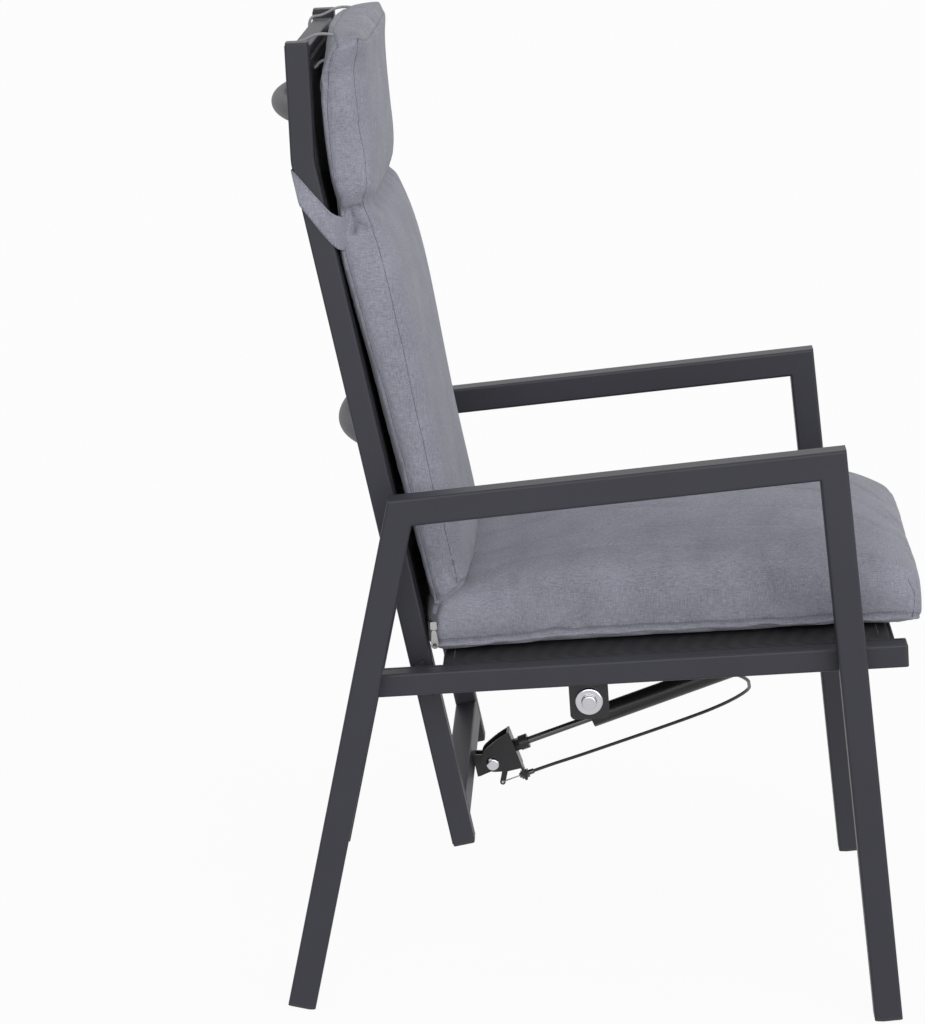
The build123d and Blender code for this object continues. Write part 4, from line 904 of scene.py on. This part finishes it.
# Elastic loops from the head roll round the top crossbar
ELASTIC_RADIUS = 1.6 * MM
TOP_BAR = 0.878
BAR_HALF = 0.010
ELASTIC_CLEAR = 4.2 * MM
LOOP_LATERAL = 0.150
loop_rear = STILE_DEPTH / 2 - BAR_HALF - ELASTIC_CLEAR
loop_top = TOP_BAR + BAR_HALF + ELASTIC_CLEAR
loop_low = TOP_BAR - BAR_HALF - ELASTIC_CLEAR
for side_name, side in SIDES:
    lateral = side * LOOP_LATERAL
    loop = [on_back(0.899, 0.050, lateral + side * 0.010), on_back(0.903, 0.034, lateral + side * 0.006),
            on_back(loop_top, 0.014, lateral), on_back(loop_top, loop_rear, lateral),
            on_back(loop_low, loop_rear, lateral), on_back(loop_low, 0.0285, lateral - side * 0.002),
            on_back(0.870, 0.030, lateral - side * 0.004), on_back(0.874, 0.043, lateral - side * 0.006)]
    cord = tube(side_name + "_elastic", loop, ELASTIC_RADIUS, "elastic", "backrest")
    if side < 0:
        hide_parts("elastic_loops")

# Release cable: the sheath from the button's nozzle over its turn rides on the frame; its lower run rides on the
# frame too, split off at the turn, which is found from the way its end goes with the adjuster as the back reclines
CABLE_RADIUS = 1.9 * MM
NOZZLE = on_rail(0.246, -0.020)
NOZZLE_LATERAL = -0.231
CABLE_EXIT = 0.025
cable_start = [Vector((NOZZLE_LATERAL, NOZZLE.y, NOZZLE.z)),
               Vector((NOZZLE_LATERAL + CABLE_EXIT, NOZZLE.y, NOZZLE.z)),
               place(0.336, 0.344, -0.190), place(0.386, 0.350, -0.182), place(0.440, 0.354, -0.176)]
cable_corner = place(0.492, 0.344, -0.160)
cable_end = [place(0.498, 0.311, -0.100), place(0.467, 0.281, -0.064), place(0.412, 0.252, -0.042),
             place(0.358, 0.226, -0.024), place(0.305, 0.201, -0.008)]
swing = joints["gas_rod_swing"]
recline = joints["back_recline"]
stroke = joints["gas_stroke"]
rod_bolt = Vector(swing["pos_m"])
gas_along = -Vector(stroke["axis"]).normalized()
gas_up = gas_along.cross(ACROSS).normalized()
if gas_up.z < 0:
    gas_up = -gas_up
ADJUSTER_UP = -0.0283
ADJUSTER_FRONT = 0.039
HOOK_ALONG = 0.001


def on_gas(along, up, lateral=0.0):
    """A point from its distance along the gas spring and above the rod bolt."""
    return rod_bolt + gas_along * along + gas_up * up + ACROSS * lateral


cable_end += [on_gas(0.062, ADJUSTER_UP), on_gas(ADJUSTER_FRONT, ADJUSTER_UP)]
full_turn = math.radians(recline["range_deg"][1])
rod_turn = Quaternion(Vector(swing["axis"]), couplings["gas_rod_swing"] * full_turn)
back_turn = Quaternion(Vector(recline["axis"]), full_turn)
pivot = Vector(recline["pos_m"])
swung = rod_bolt + rod_turn @ (cable_end[-1] - rod_bolt)
reclined = pivot + back_turn @ (swung - pivot)
travel = reclined - cable_end[-1]
give = travel.normalized()
before = (cable_start[-1] + cable_corner) / 2
after = (cable_corner + cable_end[0]) / 2
rise = (cable_corner - before).dot(give)
fall = (cable_corner - after).dot(give)
turn_share = rise / (rise + fall)
turn_entry = before.lerp(cable_corner, turn_share)
turn_exit = cable_corner.lerp(after, turn_share)
turn_point = turn_entry.lerp(turn_exit, turn_share)
upper_run = tube("release_cable_upper", [*cable_start, before, turn_entry, turn_point], CABLE_RADIUS, "cable_sheath",
                 "frame")
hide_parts("release_cable")
lower_run = solid_tube("release_cable_lower", [turn_point, turn_exit, after, *cable_end], CABLE_RADIUS,
                       "cable_sheath", "frame")
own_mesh(lower_run)

# Bare wire from the adjuster to the lever
WIRE_RADIUS = 0.8 * MM
BARREL_RADIUS = 1.5 * MM
hook = on_gas(HOOK_ALONG, ADJUSTER_UP)
wire_end = on_gas(ADJUSTER_FRONT - 0.004, ADJUSTER_UP)
wire = solid_tube("release_wire", [wire_end, hook.lerp(wire_end, 0.5), hook], WIRE_RADIUS, "wire_steel", "gas_rod")
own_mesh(wire)
tube("release_wire_barrel", [hook - ACROSS * BARREL_RADIUS, hook, hook + ACROSS * BARREL_RADIUS], BARREL_RADIUS,
     "wire_steel", "release_lever")

# Camera, fitted to the photograph's perspective
CAMERA_LATERAL = -3.9196
CAMERA_FORWARD = 0.3029
CAMERA_UP = 1.40795
CAMERA_YAW = math.radians(-1.897)
CAMERA_PITCH = math.radians(13.24)
CAMERA_ROLL = math.radians(0.50)
CAMERA_LENS = 125.18


def aimed(lateral, forward, up):
    """A direction from its parts to the sitter's left, forward and up."""
    return Vector((lateral, -forward, up))


sight = aimed(math.cos(CAMERA_PITCH) * math.cos(CAMERA_YAW), math.cos(CAMERA_PITCH) * math.sin(CAMERA_YAW),
              -math.sin(CAMERA_PITCH))
level_right = aimed(-math.sin(CAMERA_YAW), math.cos(CAMERA_YAW), 0.0)
level_up = level_right.cross(sight)
camera_right = level_right * math.cos(CAMERA_ROLL) + level_up * math.sin(CAMERA_ROLL)
camera_up = level_up * math.cos(CAMERA_ROLL) - level_right * math.sin(CAMERA_ROLL)
camera = bpy.data.objects.new("camera", bpy.data.cameras.new("camera"))
scene.collection.objects.link(camera)
camera.data.lens = CAMERA_LENS
camera.data.sensor_width = 36.0
camera.data.clip_end = 100.0
turned = Matrix((camera_right, camera_up, -sight)).transposed().to_4x4()
camera.matrix_world = Matrix.Translation(place(CAMERA_FORWARD, CAMERA_UP, CAMERA_LATERAL)) @ turned
scene.camera = camera


# Floor and light: a pale floor that shows near white to the camera and keeps a soft shadow
def white_to_sight(tree, shaded, share):
    """Mixes plain white over a shader, by that share, for what the camera, a mirror or glass sees."""
    path = add(tree, "LightPath", {})
    seen = combine(tree, "MAXIMUM", path.outputs["Is Camera Ray"],
                   combine(tree, "MAXIMUM", path.outputs["Is Glossy Ray"], path.outputs["Is Transmission Ray"]))
    white = add(tree, "Emission", {"Color": (1, 1, 1, 1), "Strength": 1.0})
    return add(tree, "MixShader", {0: combine(tree, "MULTIPLY", seen, share), 1: shaded,
                                   2: white.outputs[0]}).outputs[0]


FLOOR_HALF = 40.0
floor_mesh = bpy.data.meshes.new("floor")
floor_mesh.from_pydata([(-FLOOR_HALF, -FLOOR_HALF, 0), (FLOOR_HALF, -FLOOR_HALF, 0), (FLOOR_HALF, FLOOR_HALF, 0),
                        (-FLOOR_HALF, FLOOR_HALF, 0)], [], [(0, 1, 2, 3)])
floor = bpy.data.objects.new("floor", floor_mesh)
scene.collection.objects.link(floor)
floor_material = bpy.data.materials.new("floor")
floor_material.use_nodes = True
floor_tree = floor_material.node_tree
floor_tree.nodes.clear()
matt = add(floor_tree, "BsdfDiffuse", {"Color": (0.86, 0.86, 0.87, 1.0)})
floor_out = floor_tree.nodes.new("ShaderNodeOutputMaterial")
floor_tree.links.new(white_to_sight(floor_tree, matt.outputs[0], 0.94), floor_out.inputs["Surface"])
floor_mesh.materials.append(floor_material)

world = bpy.data.worlds.new("studio")
scene.world = world
world.use_nodes = True
sky = world.node_tree
sky.nodes.clear()
dome = add(sky, "Background", {"Color": (0.96, 0.97, 1.0, 1.0), "Strength": 0.40})
sky_out = sky.nodes.new("ShaderNodeOutputWorld")
sky.links.new(white_to_sight(sky, dome.outputs[0], 1.0), sky_out.inputs["Surface"])


def softbox(name, strength, spread, direction):
    """A broad lamp at infinity shining along a direction."""
    lamp = bpy.data.lights.new(name, "SUN")
    lamp.energy = strength
    lamp.angle = math.radians(spread)
    made = bpy.data.objects.new(name, lamp)
    scene.collection.objects.link(made)
    made.rotation_mode = "QUATERNION"
    made.rotation_quaternion = Vector(direction).to_track_quat("-Z", "Y")


softbox("key", 2.0, 70, (1.0, 0.3, -0.45))
softbox("fill", 0.35, 120, (0.2, 0.6, -0.6))

scene.view_settings.view_transform = "Standard"
bpy.context.view_layer.update()
